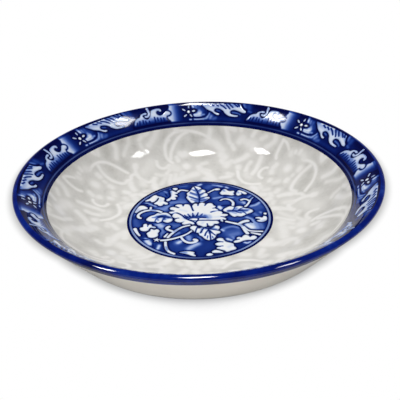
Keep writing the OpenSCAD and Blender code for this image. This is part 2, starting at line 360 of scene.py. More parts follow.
def settle(piece, node, sharp=40):
    """Smooth shading, and the piece's place among the dish's parts."""
    mesh = piece.data
    mesh.shade_smooth()
    mesh.set_sharp_from_angle(angle=math.radians(sharp))
    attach(piece, "root")
    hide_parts(node)
    return piece


# The section of the dish
def well_at(s):
    """Radius, height and normal of the well, s out from the medallion's edge."""
    s = np.asarray(s, float)
    a = np.clip((s - WELL_FLAT) / WELL_R, 0, None)
    r = np.where(s < WELL_FLAT, MEDALLION_R + s, MEDALLION_R + WELL_FLAT + WELL_R * np.sin(a))
    return r, FLOOR_Z + WELL_R * (1 - np.cos(a)), -np.sin(a), np.cos(a)


def border_run():
    """The border's section in fine steps: place up it, slope, radius and height."""
    v = np.linspace(0, BORDER_LENGTH, 800)
    slope = np.radians(np.interp(v, *zip(*BORDER_SLOPES)))
    middle = (slope[1:] + slope[:-1]) / 2
    r = BORDER_FOOT[0] + np.r_[0, np.cumsum(np.diff(v) * np.cos(middle))]
    z = BORDER_FOOT[1] + np.r_[0, np.cumsum(np.diff(v) * np.sin(middle))]
    return v, slope, r, z


BORDER_RUN = border_run()


def border_at(v):
    """Radius, height and normal of the border, v up its slope. Its swell draws the middle lower."""
    v = v - 4 * SWELL_DROP * v * (BORDER_LENGTH - v) / BORDER_LENGTH**2
    slope, r, z = (np.interp(v, BORDER_RUN[0], values) for values in BORDER_RUN[1:])
    return r, z, -np.sin(slope), np.cos(slope)


# the lip from the border's end, over its slanting top and down outside:
# facing at the end of each turn in degrees, radius, steps
LIP_TURNS = ((81.0, 0.25, 7), (58.0, 2.6, 15), (-38.0, 0.5, 14))


def wall_sections():
    """Points of the outside: round the lip to the band's end, and on from there to the foot."""
    wall = np.array([math.cos(WALL_SLOPE), math.sin(WALL_SLOPE)])
    out = np.array([wall[1], -wall[0]])
    facing = 90 + BORDER_SLOPES[-1][1]
    lip = [np.array(LIP_START)]
    for end, radius, steps in LIP_TURNS:
        turn = np.radians(np.linspace(facing, end, steps))
        way = np.c_[np.cos(turn), np.sin(turn)]
        lip += list(lip[-1] + radius * (way[1:] - way[0]))
        facing = end
    start = lip[-1]
    band_end = start - BAND_LONG * wall
    band = np.linspace(start, band_end, 6)[1:]
    foot = np.array([FOOT_OUT, FOOT_H])
    gap = start - BELLY_R * out - foot
    half = gap @ wall
    t = -half + math.sqrt(half**2 - gap @ gap + BELLY_R**2)
    centre = start + t * wall - BELLY_R * out
    ends = [math.atan2(*(p - centre)[::-1]) for p in (start + t * wall, foot)]
    turn = np.linspace(*ends, 40)
    belly = centre + BELLY_R * np.c_[np.cos(turn), np.sin(turn)]
    straight = np.linspace(band_end, start + t * wall, 12)[:-1]
    return np.vstack([lip, band]), np.vstack([straight, belly])


def offset(section, depth):
    """The same section moved inwards, to its right."""
    way = np.gradient(section, axis=0)
    way /= np.linalg.norm(way, axis=1)[:, None]
    return section + depth * np.c_[way[:, 1], -way[:, 0]]


def sector_strip(loop, turn_from, turn, columns, tops):
    """A closed section swept through part of a turn. The first tops points of the loop are its face."""
    n = len(loop)
    angles = np.radians(np.linspace(turn_from, turn_from + turn, columns + 1))
    r, z = loop[:, 0], loop[:, 1]
    places = np.stack([np.outer(np.cos(angles), r), np.outer(np.sin(angles), r),
                       np.tile(z, (columns + 1, 1))], -1).reshape(-1, 3)
    along = np.r_[0, np.cumsum(np.linalg.norm(np.diff(loop, axis=0), axis=1))]
    along = along / along[tops - 1]
    faces, maps = [], []
    for i in range(columns):
        for j in range(n):
            k = (j + 1) % n
            faces.append((i * n + j, i * n + k, (i + 1) * n + k, (i + 1) * n + j))
            u0, u1 = i / columns, (i + 1) / columns
            if j < tops - 1:
                v0, v1 = (MAP_FACE[0] + MAP_FACE[1] * along[m] for m in (j, k))
            else:
                v0, v1 = (MAP_BACK[0] + MAP_BACK[1] * (j - tops + m) / (n - tops + 1) for m in (1, 2))
            maps += [(u0, v0), (u0, v1), (u1, v1), (u1, v0)]
    return places, faces, np.array(maps)


def spread_maps(piece, count, turn_from):
    """Gives each repeat of a sector its own row of the map."""
    mesh = piece.data
    corner = np.empty(len(mesh.loops) * 2, np.float32)
    layer = mesh.uv_layers["OFBake"].data
    layer.foreach_get("uv", corner)
    corner = corner.reshape(-1, 2)
    centres = np.empty(len(mesh.polygons) * 3, np.float32)
    mesh.polygons.foreach_get("center", centres)
    centres = centres.reshape(-1, 3)
    sizes = np.empty(len(mesh.polygons), np.int32)
    mesh.polygons.foreach_get("loop_total", sizes)
    turn = (np.degrees(np.arctan2(centres[:, 1], centres[:, 0])) - turn_from) % 360
    row = np.repeat(np.minimum((turn * count / 360).astype(int), count - 1), sizes)
    corner[:, 1] = (row + corner[:, 1]) / count
    layer.foreach_set("uv", corner.ravel())


# Finishes
def srgb(r, g, b):
    """A colour as the eye names it, 0 to 255, as shader values."""
    def linear(c):
        c /= 255
        return c / 12.92 if c <= 0.04045 else ((c + 0.055) / 1.055) ** 2.4
    return (linear(r), linear(g), linear(b), 1)


BLUE_STOPS = [
    (0.0, srgb(241, 241, 240)), (0.08, srgb(223, 229, 239)), (0.18, srgb(191, 204, 230)),
    (0.36, srgb(118, 145, 206)), (0.54, srgb(61, 90, 166)), (0.7, srgb(27, 57, 137)),
    (0.86, srgb(6, 27, 100)), (1.0, srgb(0, 3, 60))]
SCROLL_STOPS = [
    (0.0, srgb(194, 192, 186)), (0.2, srgb(213, 211, 206)), (0.4, srgb(221, 219, 214)),
    (0.66, srgb(230, 228, 224)), (1.0, srgb(240, 238, 235))]
NAVY_STOPS = [
    (0.0, srgb(34, 62, 142)), (0.35, srgb(7, 34, 124)), (0.6, srgb(3, 22, 105)), (1.0, srgb(0, 8, 74))]
LINE_STOPS = [(0.0, srgb(176, 192, 224)), (0.5, srgb(108, 130, 186)), (1.0, srgb(30, 48, 112))]
GREY_STOPS = [(0.0, srgb(242, 237, 227)), (0.5, srgb(234, 228, 217)), (1.0, srgb(224, 218, 206))]
CLAY_STOPS = [(0.0, srgb(226, 220, 208)), (0.5, srgb(214, 207, 193)), (1.0, srgb(197, 188, 171))]


def fired_finish(name, stops, painted, blur, gloss, grain=(700, 0.06), ripple=(110, 0.00004), pits=None,
                 mirror=0.22):
    """A fired finish. Its colours follow the tone of the painting, or clouds of the glaze itself.

    blur is how far those clouds move the tone, gloss the least and most roughness. grain is how fine and how
    strong the mottle is, ripple how fine and how deep the glaze's unevenness is, and pits the same of pores.
    """
    finish = bpy.data.materials.new(name)
    finish.use_nodes = True
    nodes, link = finish.node_tree.nodes, finish.node_tree.links.new
    shader = nodes["Principled BSDF"]
    shader.inputs["IOR"].default_value = 1.5
    shader.inputs["Specular IOR Level"].default_value = mirror
    where = nodes.new("ShaderNodeTexCoord")

    def noise(scale, detail, rough):
        cloud = nodes.new("ShaderNodeTexNoise")
        cloud.inputs["Scale"].default_value = scale
        cloud.inputs["Detail"].default_value = detail
        cloud.inputs["Roughness"].default_value = rough
        link(where.outputs["Object"], cloud.inputs["Vector"])
        return cloud.outputs["Fac"]

    def sum_of(a, b, scale, shift):
        scaled = worked(finish.node_tree, "MULTIPLY_ADD", b, scale, shift)
        return scaled if a is None else worked(finish.node_tree, "ADD", a, scaled)

    if painted:
        brush = nodes.new("ShaderNodeAttribute")
        brush.attribute_name = "tone"
        tone = sum_of(brush.outputs["Fac"], noise(grain[0] / 5, 2, 0.5), blur, -blur / 2)
    else:
        tone = sum_of(None, noise(grain[0] / 8, 3, 0.55), 1.6 * blur, 0.5 - 0.8 * blur)
    tone = sum_of(tone, noise(grain[0], 3, 0.6), grain[1], -grain[1] / 2)
    ramp = nodes.new("ShaderNodeValToRGB")
    stops_in = ramp.color_ramp.elements
    while len(stops_in) < len(stops):
        stops_in.new(0.5)
    for stop, (place, colour) in zip(stops_in, stops):
        stop.position, stop.color = place, colour
    link(tone, ramp.inputs["Fac"])
    link(ramp.outputs["Color"], shader.inputs["Base Color"])

    link(sum_of(None, noise(240, 2, 0.5), gloss[1] - gloss[0], gloss[0]), shader.inputs["Roughness"])
    bump = nodes.new("ShaderNodeBump")
    bump.inputs["Strength"].default_value = 1.0
    bump.inputs["Distance"].default_value = ripple[1]
    height = noise(ripple[0], 1, 0.4)
    if pits:
        height = sum_of(height, noise(pits[0], 4, 0.65), pits[1], 0)
    link(height, bump.inputs["Height"])
    link(bump.outputs["Normal"], shader.inputs["Normal"])
    return finish


PRINT_MIRROR = 0.27         # how strongly the prints and the enamel mirror
cobalt_ground = fired_finish(
    "cobalt brushed under glaze", BLUE_STOPS, painted=True, blur=0.07, gloss=(0.05, 0.09),
    mirror=PRINT_MIRROR)
white_enamel = fired_finish(
    "white enamel with blue brushwork", BLUE_STOPS, painted=True, blur=0.03, gloss=(0.06, 0.1),
    mirror=PRINT_MIRROR)
pale_line = fired_finish(
    "pale blue banding", LINE_STOPS, painted=True, blur=0.2, gloss=(0.05, 0.09), mirror=PRINT_MIRROR)
navy_lip = fired_finish(
    "dark cobalt lip glaze", NAVY_STOPS, painted=False, blur=1.2, gloss=(0.03, 0.06), grain=(900, 0.25),
    mirror=0.3)
scroll_glaze = fired_finish(
    "pale glaze with slip scroll", SCROLL_STOPS, painted=True, blur=0.45, gloss=(0.04, 0.08),
    grain=(1100, 0.2))
grey_glaze = fired_finish(
    "warm grey outside glaze", GREY_STOPS, painted=False, blur=0.7, gloss=(0.06, 0.12))
bare_clay = fired_finish(
    "ground unglazed clay", CLAY_STOPS, painted=False, blur=0.8, gloss=(0.55, 0.75), grain=(2400, 0.25),
    ripple=(900, 0.00002), pits=(5200, 1.5))
clay_body = fired_finish(
    "fired clay under the glaze", CLAY_STOPS, painted=False, blur=0.5, gloss=(0.5, 0.65), grain=(1800, 0.15))

ring_repeat, turned = ring_repeat_tree(), turned_tree()


# Turned coats
PATH_R = 40.0               # radius of the circle that a section follows


def turned_piece(name, section, closed, finish, segments=320):
    """A section in the radius and height plane, turned about the axis of the dish."""
    mesh = bpy.data.meshes.new(name)
    count = len(section)
    places = [((r - PATH_R) * MM, -z * MM, 0) for r, z in section]
    edges = [(i, i + 1) for i in range(count - 1)] + ([(count - 1, 0)] if closed else [])
    mesh.from_pydata(places, edges, [])
    piece = bpy.data.objects.new(name, mesh)
    bpy.context.scene.collection.objects.link(piece)
    grow(piece, turned, Segments=segments, Path_Radius=PATH_R * MM, Material=finish)
    return piece


def coat_section(face):
    """Closed section of a coat: its face, and its underside one coat thickness in."""
    return np.vstack([face, offset(face, COAT)[::-1]])


lip_face, wall_face = wall_sections()
cobalt_lip = turned_piece("cobalt_lip", coat_section(lip_face), True, navy_lip)
settle(cobalt_lip, "lip_band")
outside_glaze = turned_piece("outside_glaze", coat_section(wall_face), True, grey_glaze)
settle(outside_glaze, "outer_glaze")

under = np.array([(0, FOOT_H + COAT), (FOOT_IN, FOOT_H + COAT), (FOOT_IN, FOOT_H), (0, FOOT_H)])
under = np.vstack([under[:2], np.linspace(under[2], under[3], 30)])
underside_glaze = turned_piece("underside_glaze", under, False, grey_glaze, segments=200)
settle(underside_glaze, "base_glaze")

# rounded lower edge of the foot: in from a side, up from the table
FOOT_EDGE = [(0.9, 0), (0.65, 0.05), (0.48, 0.22), (0.4, 0.5), (0.1, 2.1)]
FOOT_STEP = 0.12            # spacing of its points
inner_side = curve_through([(FOOT_IN + x, y) for x, y in FOOT_EDGE], FOOT_STEP)
outer_side = curve_through([(FOOT_OUT - x, y) for x, y in FOOT_EDGE[::-1]], FOOT_STEP)
middle = (FOOT_IN + FOOT_OUT) / 2
foot_top = [(FOOT_IN, FOOT_H), (middle, FOOT_H), (FOOT_OUT, FOOT_H)]
foot = np.vstack([inner_side, foot_top, outer_side, [(middle, 0)]])
stand_ring = turned_piece("stand_ring", foot, True, bare_clay, segments=260)
settle(stand_ring, "foot_ring")


# tone of the medallion's pale ring by degrees round it
RING_TONES = [
    (-170, 0.55), (-150, 0.35), (-130, 0.3), (-100, 0.75), (-80, 0.9), (-60, 0.55), (-45, 0.3), (-20, 0.5),
    (0, 0.35), (25, 0.25), (40, 0.3), (60, 0.8), (90, 0.95), (120, 0.9), (145, 0.6), (160, 0.4),
    (180, 0.45)]


def flat_ring(inner, outer):
    """Closed section of a flat ring in the floor of the dish."""
    face = np.linspace((inner, FLOOR_Z), (outer, FLOOR_Z), 5)
    return np.vstack([face, face[::-1] - (0, COAT)])


def tone_round(piece, places, tones):
    """Gives a turned piece a tone that changes round it, set at places in degrees."""
    mesh = piece.data
    spots = np.empty(len(mesh.vertices) * 3, np.float32)
    mesh.vertices.foreach_get("co", spots)
    turn = np.degrees(np.arctan2(spots[1::3], spots[::3]))
    tone = np.interp(turn, places, tones, period=360)
    set_tone(mesh, tone)


medallion_ring = turned_piece("medallion_ring", flat_ring(RING_IN, RING_OUT), True, pale_line)
tone_round(medallion_ring, *zip(*RING_TONES))
settle(medallion_ring, "medallion_line")


def slope_face(low, high, count):
    """Points of the border's face between two places up its slope."""
    r, z, _, _ = border_at(np.linspace(low, high, count))
    return np.c_[r, z]


band_section = coat_section(slope_face(LINE_LOW, LINE_HIGH, 5))
border_band = turned_piece("border_band", band_section, True, pale_line)
tone_round(border_band, (0, 60, 130, 200, 290), (0.9, 1.0, 0.94, 0.86, 0.97))
settle(border_band, "border_line")


# The medallion: mm to the right and away
# a wash or ink stroke is its tone, half width and points
FLOWER = [[
    (-2.75, 6.5), (-3.2, 7.3), (-3.8, 7.9), (-4.8, 8.0), (-5.3, 7.4), (-6, 8.0), (-7, 8.1), (-7.9, 7.7),
    (-8, 7.0), (-7.3, 5.9), (-8.8, 6.6), (-9.7, 6.2), (-9.75, 5.3), (-9.1, 4.5), (-8.6, 3.9), (-10, 3.5),
    (-9.7, 2.7), (-8.7, 2.05), (-8.9, 1.3), (-8.9, 0.6), (-8.3, -0.2), (-7.5, -0.6), (-8, -1.3),
    (-7.9, -2.2), (-7, -2.9), (-6, -3), (-5.1, -2.7), (-5.6, -3.3), (-5.7, -4.0), (-5, -4.4), (-4, -4.2),
    (-3.2, -4.0), (-2.4, -4.5), (-1.7, -4.2), (-1.5, -3.6), (-1, -4.2), (-0.8, -4.9), (0.1, -5.4),
    (1, -6.1), (1.9, -6), (2.3, -5.1), (2.6, -5.4), (3.2, -5.9), (4, -5.6), (4.5, -4.7), (5.4, -4.7),
    (6, -4.2), (5.8, -3.5), (5.6, -2.9), (6.2, -2.6), (6.6, -3.1), (7.1, -3.7), (7.4, -3.2), (7.2, -2.2),
    (8.1, -2.5), (8.4, -2.0), (7.9, -1.3), (7.5, -0.8), (8.3, -0.4), (9, 0.1), (8.9, 0.7), (8, 1.0),
    (7.2, 1.1), (7.4, 1.5), (7.3, 2.2), (6.8, 2.7), (6.1, 3.0), (6.1, 3.5), (5.7, 4.1), (4.95, 4.9),
    (5.4, 5.9), (4.7, 6.6), (4.4, 7.6), (3.6, 8.2), (2.6, 7.8), (2.1, 7.1), (1.8, 8.0), (1, 8.7), (0, 8.2),
    (-0.4, 7.3), (-1, 8.1), (-1.8, 8.0), (-2.15, 7.3)]]
FLOWER_WASH = [
    (0.74, 1.0, [(-4.2, -0.3), (-3.0, 0.1), (-1.4, 0.2), (0.2, 0.0), (1.2, -0.3)]),
    (0.52, 0.9, [(1.0, 0.3), (2.0, -0.2), (2.6, -0.7)]), (0.22, 0.7, [(3.0, 0.2), (3.3, -1.0)]),
    (0.1, 0.6, [(-6.4, 4.6), (-4.4, 3.4)]), (0.1, 0.6, [(6.2, -0.6), (4.8, -0.8)]),
    (0.12, 0.5, [(0.6, -4.4), (1.0, -3.6)])]
FLOWER_INK = [
    (0.98, 0.28, [(-2.85, 7.2), (-2.5, 5.4), (-2.3, 4.4), (-2.1, 3.6)]),
    (0.6, 0.25, [(-8.8, 2.4), (-8.1, 2.7), (-7.4, 2.65)]),
    (0.96, 0.32, [(-7.4, 2.6), (-6.6, 2.0), (-5.6, 0.8), (-4.9, -0.3), (-4.1, -1.4), (-2.9, -2.4),
     (-1.9, -3.2), (-1.5, -4.0)]),
    (0.96, 0.3, [(-1.5, -3.7), (-1.1, -2.9), (-0.5, -2.35), (0.5, -2.4), (2, -2.45), (4, -2.65),
     (5.9, -2.75), (6.3, -2.6)]),
    (0.75, 0.34, [(3.7, 2.3), (4.3, 2.7), (5.0, 2.85)]), (0.35, 0.3, [(5.0, 2.9), (6.2, 3.1)]),
    # rays of the heart, dark and white in turn
    (0.92, 0.2, [(-5.0, 1.2), (-4.4, 0.2), (-3.9, -0.6)]),
    (0.94, 0.2, [(-3.9, 1.7), (-3.4, 0.6), (-3.0, -0.4)]),
    (0.94, 0.2, [(-2.3, 2.1), (-2.2, 0.8), (-2.2, -0.2)]),
    (0.94, 0.2, [(-0.5, 2.3), (-0.8, 1.1), (-1.2, 0.0)]), (0.88, 0.18, [(0.8, 1.5), (0.3, 0.6)]),
    (0.1, 0.17, [(-4.5, 1.5), (-3.7, 0.4)]), (0.1, 0.17, [(-3.1, 1.8), (-2.7, 0.4)]),
    (0.1, 0.17, [(-1.4, 1.9), (-1.5, 0.6)]), (0.12, 0.17, [(0.1, 1.5), (-0.3, 0.6)]),
    (0.15, 0.17, [(1.4, 1.2), (1.0, 0.6)]),
    # beans under it
    (0.94, 0.28, [(-3.5, -1.2), (-2.6, -0.8), (-1.4, -0.8), (-0.4, -1.0), (0.6, -0.75), (1.8, -0.9)]),
    (0.94, 0.25, [(-0.5, -1.0), (-0.55, -1.7), (-0.7, -2.4)]),
    (0.88, 0.2, [(-2.9, -1.9), (-2.2, -2.4), (-1.2, -2.5)]), (0.02, 0.52, [(-2.2, -1.6), (-1.4, -1.7)]),
    (0.05, 0.34, [(0.2, -1.4), (1.0, -1.55), (1.9, -1.75)]),
    # notches between the petals
    (0.98, 0.27, [(-5.5, 7.8), (-5.4, 6.9)]), (0.98, 0.27, [(-7.8, 6.7), (-6.9, 5.9)]),
    (0.97, 0.25, [(-9.3, 4.4), (-8.5, 4.0)]), (0.97, 0.22, [(-0.4, 7.7), (-0.5, 6.8)]),
    (0.97, 0.22, [(2.1, 7.5), (1.8, 6.6)]), (0.95, 0.2, [(5.1, 4.9), (4.4, 4.7)]),
    (0.9, 0.2, [(-7.6, -0.6), (-6.8, -0.5)]), (0.9, 0.2, [(2.3, -5.3), (2.2, -4.4)]),
    (0.85, 0.2, [(7.6, -0.8), (6.8, -0.6)])]

LEAVES = [
    [(-1.6, 20.2), (-0.6, 19.9), (0.3, 19.3), (0.8, 18.4), (0.4, 17.5), (1.4, 17.5), (2.2, 16.8),
     (2.2, 15.8), (1.7, 15.0), (2.6, 14.9), (3.0, 14.0), (2.8, 12.9), (2.4, 12.3), (3.3, 12.3), (3.6, 11.6),
     (3.0, 10.8), (2.2, 9.9), (1.2, 9.2), (0, 8.95), (-1.2, 9.3), (-2.2, 8.7), (-2.8, 9.0), (-3.4, 10.2),
     (-4.0, 11.5), (-4.3, 12.6), (-4.0, 13.8), (-4.2, 15.0), (-3.8, 15.9), (-3.0, 17.0), (-2.6, 18.3),
     (-2.1, 19.4)],
    [(-17.3, -0.6), (-16.8, 0.6), (-15.8, 1.6), (-15, 1.9), (-14.4, 2.4), (-13.8, 3.0), (-12.8, 2.8),
     (-12, 3.2), (-11, 3.1), (-10.2, 2.5), (-9.5, 1.4), (-9.3, 0.8), (-8.9, -0.6), (-8.9, -1.8),
     (-9.6, -2.6), (-10.4, -2.9), (-11.2, -2.5), (-12, -2), (-12.8, -2.4), (-13.4, -2.8), (-14, -2.2),
     (-14.8, -2.0), (-16, -1.8), (-17, -1.2)],
    [(7.7, 3.2), (8, 4), (8.8, 4.8), (10, 5.6), (10.8, 5.4), (11.8, 5), (12.4, 5.4), (13.6, 5.4),
     (14.4, 4.8), (15, 4), (16, 3.8), (17, 3), (17.4, 2), (16.8, 1.2), (15.8, 0.7), (15, 0.2), (14, -0.6),
     (13, -0.9), (12, -0.6), (11.2, -1), (10.4, -0.4), (9.8, 0.6), (9.4, 1.6), (8.0, 2.6)],
    [(1.5, -6.5), (0.2, -6.6), (-0.5, -7), (-0.8, -6.2), (-1.5, -5.5), (-2.5, -5.4), (-3.2, -6.3),
     (-2.8, -7.3), (-2.2, -7.9), (-1.8, -9.0), (-1.1, -9.3), (-0.6, -9.5), (-0.4, -10.6), (0.5, -11.5),
     (1.1, -12.6), (2.0, -13.4), (2.8, -13.6), (3.6, -13.2), (4.3, -12.5), (4.7, -11.4), (5.0, -10.4),
     (5.9, -10.0), (6.1, -9.2), (5.4, -8.4), (5.9, -7.4), (6.0, -6.5), (5.4, -5.8), (4.5, -5.8),
     (3.8, -6.5), (3.0, -6.7)]]
LEAF_WASH = [
    # top leaf
    (0.58, 0.6, [(-0.9, 17.8), (-0.5, 15.4), (0.0, 12.6), (0.2, 10.0)]),
    (0.52, 0.5, [(-0.3, 13.2), (-1.6, 14.2), (-2.8, 15.2)]),
    (0.55, 0.55, [(-0.2, 10.4), (-1.6, 11.5), (-2.8, 12.5)]), (0.42, 0.4, [(-0.9, 16.2), (-1.9, 17.2)]),
    (0.5, 0.5, [(0.1, 13.2), (1.1, 14.3)]), (0.52, 0.5, [(0.4, 10.8), (1.5, 11.7)]),
    (0.45, 0.4, [(0.1, 16), (0.6, 16.8)]), (0.52, 0.6, [(0.6, 9.8), (2.0, 10.2)]),
    (0.5, 0.5, [(-1.2, 9.8), (-0.4, 9.6)]),
    # left leaf
    (0.76, 0.8, [(-13.6, 0.7), (-12.4, 0.8), (-11.2, 0.7), (-10.2, 0.2)]),
    (0.55, 0.5, [(-11.6, 0.0), (-11.3, -1.0)]), (0.45, 0.4, [(-15.2, 0.4), (-14, 0.4)]),
    (0.4, 0.4, [(-13.8, -0.4), (-13.4, -1.4)]),
    # right leaf
    (0.64, 0.75, [(9.7, 2.6), (11.6, 2.4), (13.4, 2.6), (15.2, 2.5)]),
    (0.4, 0.5, [(11.6, 3.4), (12.2, 4.2)]), (0.42, 0.4, [(13.4, 1.6), (14.6, 1.3)]),
    (0.36, 0.5, [(15.2, 2.8), (16.2, 3.1)]), (0.3, 0.4, [(10.6, 1.4), (11.8, 0.9)]),
    # lower leaf
    (0.62, 0.7, [(1.6, -6.9), (2.6, -7.3), (3.6, -7.0)]), (0.5, 0.5, [(2.7, -8.2), (2.9, -9.8)]),
    (0.42, 0.4, [(0.5, -7.6), (0.2, -9.2)]), (0.42, 0.4, [(4.2, -7.6), (5.0, -7.8)]),
    (0.35, 0.35, [(-0.4, -6.6), (0.4, -7.0)])]
LEAF_INK = [
    (0.96, 0.26, [(-1.75, 20.2), (-1.2, 18.5), (-0.6, 16.5), (-0.1, 14), (0.1, 11.5), (0, 8.9)]),
    (0.7, 0.22, [(-0.3, 14), (-1.6, 14.9), (-3.0, 15.9)]),
    (0.75, 0.24, [(-0.2, 11), (-1.8, 12), (-3.4, 13.2)]),
    (0.6, 0.2, [(-0.9, 16.6), (-1.8, 17.3), (-2.6, 18)]), (0.8, 0.26, [(-0.4, 16.4), (0.5, 17.6)]),
    (0.8, 0.26, [(0.0, 13.8), (1.8, 15.2)]), (0.8, 0.26, [(0.2, 11.4), (1.3, 12.1), (2.6, 12.4)]),
    (0.65, 0.22, [(0.2, 9.8), (1.6, 10.6), (2.8, 11.0)]),
    (0.6, 0.2, [(-0.2, 9.6), (-1.6, 10.2), (-2.8, 10.9)]),
    (0.95, 0.42, [(-13.3, 0.4), (-12.4, 0.8), (-11.5, 0.5)]),
    (0.85, 0.26, [(-11.4, 0.5), (-10, 0.1), (-9.2, -0.4)]),
    (0.7, 0.22, [(-13.4, 1.2), (-12.2, 1.7), (-11.0, 1.5)]),
    (0.12, 0.3, [(-14.2, 2.1), (-12.4, 2.4), (-10.6, 2.0), (-9.8, 1.2)]),
    (0.8, 0.26, [(-11.2, 0.2), (-11.8, -0.8), (-12.1, -2.1)]),
    (0.65, 0.22, [(-13.6, 0.2), (-14.2, -0.8), (-14.4, -2.1)]),
    (0.9, 0.3, [(9.2, 2.6), (10.8, 2.7), (11.8, 2.5)]), (0.95, 0.42, [(12.9, 2.8), (13.9, 2.9)]),
    (0.7, 0.22, [(13.9, 2.9), (15.6, 2.6)]), (0.75, 0.24, [(10.8, 3.0), (11.3, 3.9), (11.7, 5.0)]),
    (0.75, 0.24, [(12.8, 3.1), (13.6, 3.9), (14.6, 4.4)]),
    (0.75, 0.24, [(11.6, 2.3), (12.4, 1.5), (13.4, 1.0)]),
    (0.7, 0.22, [(13.9, 2.4), (14.4, 1.6), (15.0, 0.4)]),
    (0.08, 0.4, [(10.4, 0.8), (11.6, 0.2), (12.8, 0.2)]),
    (0.85, 0.36, [(1.5, -6.8), (2.5, -7.2), (3.5, -6.9)]),
    (0.94, 0.24, [(2.5, -7.2), (2.9, -10), (3.0, -13.5)]),
    (0.92, 0.26, [(-0.85, -6.2), (-1.3, -7.6), (-1.6, -9.2)]),
    (0.9, 0.26, [(1.1, -6.8), (0.5, -8.2), (0.0, -9.6)]),
    (0.9, 0.25, [(2.5, -8.0), (1.7, -9.6), (1.3, -11.2)]),
    (0.85, 0.24, [(3.0, -8.6), (3.7, -10), (4.5, -11.1)]),
    (0.88, 0.25, [(3.0, -7.5), (4.2, -8.1), (5.5, -8.5)]), (0.75, 0.22, [(3.7, -6.7), (4.4, -6.2)]),
    (0.65, 0.18, [(2.2, -11.2), (2.0, -12.6)]), (0.65, 0.18, [(3.6, -11.6), (3.7, -12.6)])]

SPRIGS = [
    [(-18.4, 11.1), (-17.8, 11.9), (-17, 12.6), (-16.4, 13.6), (-15.6, 14.7), (-14.8, 14.9), (-14.2, 14.2),
     (-13.4, 13.8), (-12.6, 13.3), (-11.9, 12.7), (-11.8, 11.7), (-12, 10.8), (-11.4, 10), (-10.6, 9.3),
     (-10.7, 8.5), (-11.4, 8.3), (-12, 8.8), (-12.3, 8.0), (-12.9, 7.6), (-13.6, 7.8), (-14.2, 8.6),
     (-15, 8.9), (-15.2, 9.5), (-14.6, 10.2), (-14.1, 11.0), (-13.8, 12), (-13.7, 12.9), (-14.0, 13.1),
     (-14.3, 12.3), (-14.7, 11.2), (-15.4, 10.4), (-16.2, 10.4), (-16.7, 11.2), (-17.6, 10.9)],
    [(-10, 17.4), (-9.2, 17.6), (-8.2, 16.6), (-7.3, 16), (-7.5, 15.4), (-8.3, 15), (-7.6, 14.2),
     (-7.4, 13.4), (-8.2, 13.1), (-7.9, 12.2), (-8, 11.5), (-8.8, 11.3), (-9.6, 11.6), (-10, 10.8),
     (-10.8, 10.6), (-11.2, 11.2), (-10.8, 12), (-10, 12.8), (-9.6, 14), (-9.8, 15.6)],
    [(-9.2, 19.1), (-8.4, 19.5), (-7.5, 19.2), (-7.5, 18.3), (-8.1, 17.8), (-8.8, 18.2)],
    [(-20, 8), (-19, 8.2), (-18, 7.6), (-17.2, 6.6), (-17.6, 5.9), (-18.8, 5.6), (-19.8, 5), (-20.6, 3.9),
     (-21.3, 4.1), (-21, 5.4), (-20.6, 6.8)],
    [(-18, -3.6), (-17.6, -3.1), (-17, -3.2), (-16.6, -4.2), (-16, -3.6), (-15.4, -3.8), (-15.2, -4.6),
     (-14.2, -5), (-14, -5.6), (-14.6, -5.7), (-15.6, -5.4), (-16.1, -6.2), (-16.4, -7), (-17.4, -7.3),
     (-18.4, -7), (-19, -6), (-18.9, -5.2), (-18.1, -4.9)],
    [(-15.4, -6.2), (-14.4, -6.8), (-13.6, -6.4), (-12.9, -7), (-12.8, -7.8), (-13.2, -8.8), (-13.1, -10),
     (-13.8, -10.8), (-15, -11.1), (-16, -10.6), (-16.4, -9.6), (-16.7, -8.6), (-16.2, -7.9),
     (-15.7, -7.4)],
    [(4.8, -13.2), (5.6, -12.7), (6.6, -12.9), (7, -13.8), (7.6, -14.8), (8.8, -15.4), (9.7, -16),
     (9.8, -17.2), (10.4, -18.2), (10, -18.9), (8.8, -19.4), (7.5, -19.9), (6.8, -19.2), (5.6, -18.6),
     (4.6, -18), (4.9, -17.4), (5.8, -17.1), (4.6, -16.4), (4.3, -15.6), (5, -15.1), (6, -14.7), (5, -14)],
    [(9.8, -14.9), (10.4, -14.3), (11, -14), (10.9, -13), (11.6, -12.5), (12.4, -12.8), (12.9, -12),
     (13.7, -11.5), (14.6, -12), (15, -12.8), (15.4, -12.4), (16.2, -12.1), (17, -12.8), (16.6, -13.8),
     (15.6, -14.3), (14, -14.3), (12.8, -14.6), (11.8, -15.2), (10.8, -15.5), (10, -15.4)],
    [(3.1, -19.8), (3.4, -19.2), (4.2, -18.8), (5.2, -19.1), (6.2, -19.8), (6.4, -20.2), (5, -20.3),
     (3.6, -20.2)],
    [(1.4, -21.2), (1.8, -20.5), (2.6, -20.3), (3.4, -20.8), (3, -21.4), (2, -21.6)],
    [(-6.4, -19.3), (-4.8, -18.9), (-3.2, -19), (-2, -19.6), (-2.2, -20.4), (-1.6, -21.2), (-2, -21.5),
     (-3.2, -21), (-4, -20.4), (-5.2, -19.9)],
    [(17.7, -2.3), (18, -1.8), (19, -1.7), (19.7, -2.1), (20.2, -1.8), (20.4, -1.2), (21.2, -1.5),
     (21.4, -2.4), (21.1, -3.6), (20.2, -4.4), (19.2, -4.6), (18.3, -4.2), (18, -3.6), (19, -3.3),
     (18.8, -2.8)],
    [(7.2, 14.6), (7.6, 15.4), (8.4, 17), (9.4, 17.2), (10, 16.2), (10.8, 15.7), (12, 15.8), (12.2, 15),
     (11.8, 14.2), (12, 13.2), (11.2, 12.7), (10, 13.1), (8.8, 13.4), (7.8, 13.4)],
    [(12.8, 14), (13.4, 15.6), (14, 16.1), (14.8, 15.6), (15.6, 15), (16.3, 14), (16.4, 13.4), (15.6, 13.1),
     (14.8, 13.6), (14.2, 12.8), (13.4, 12.4), (12.8, 13)]]
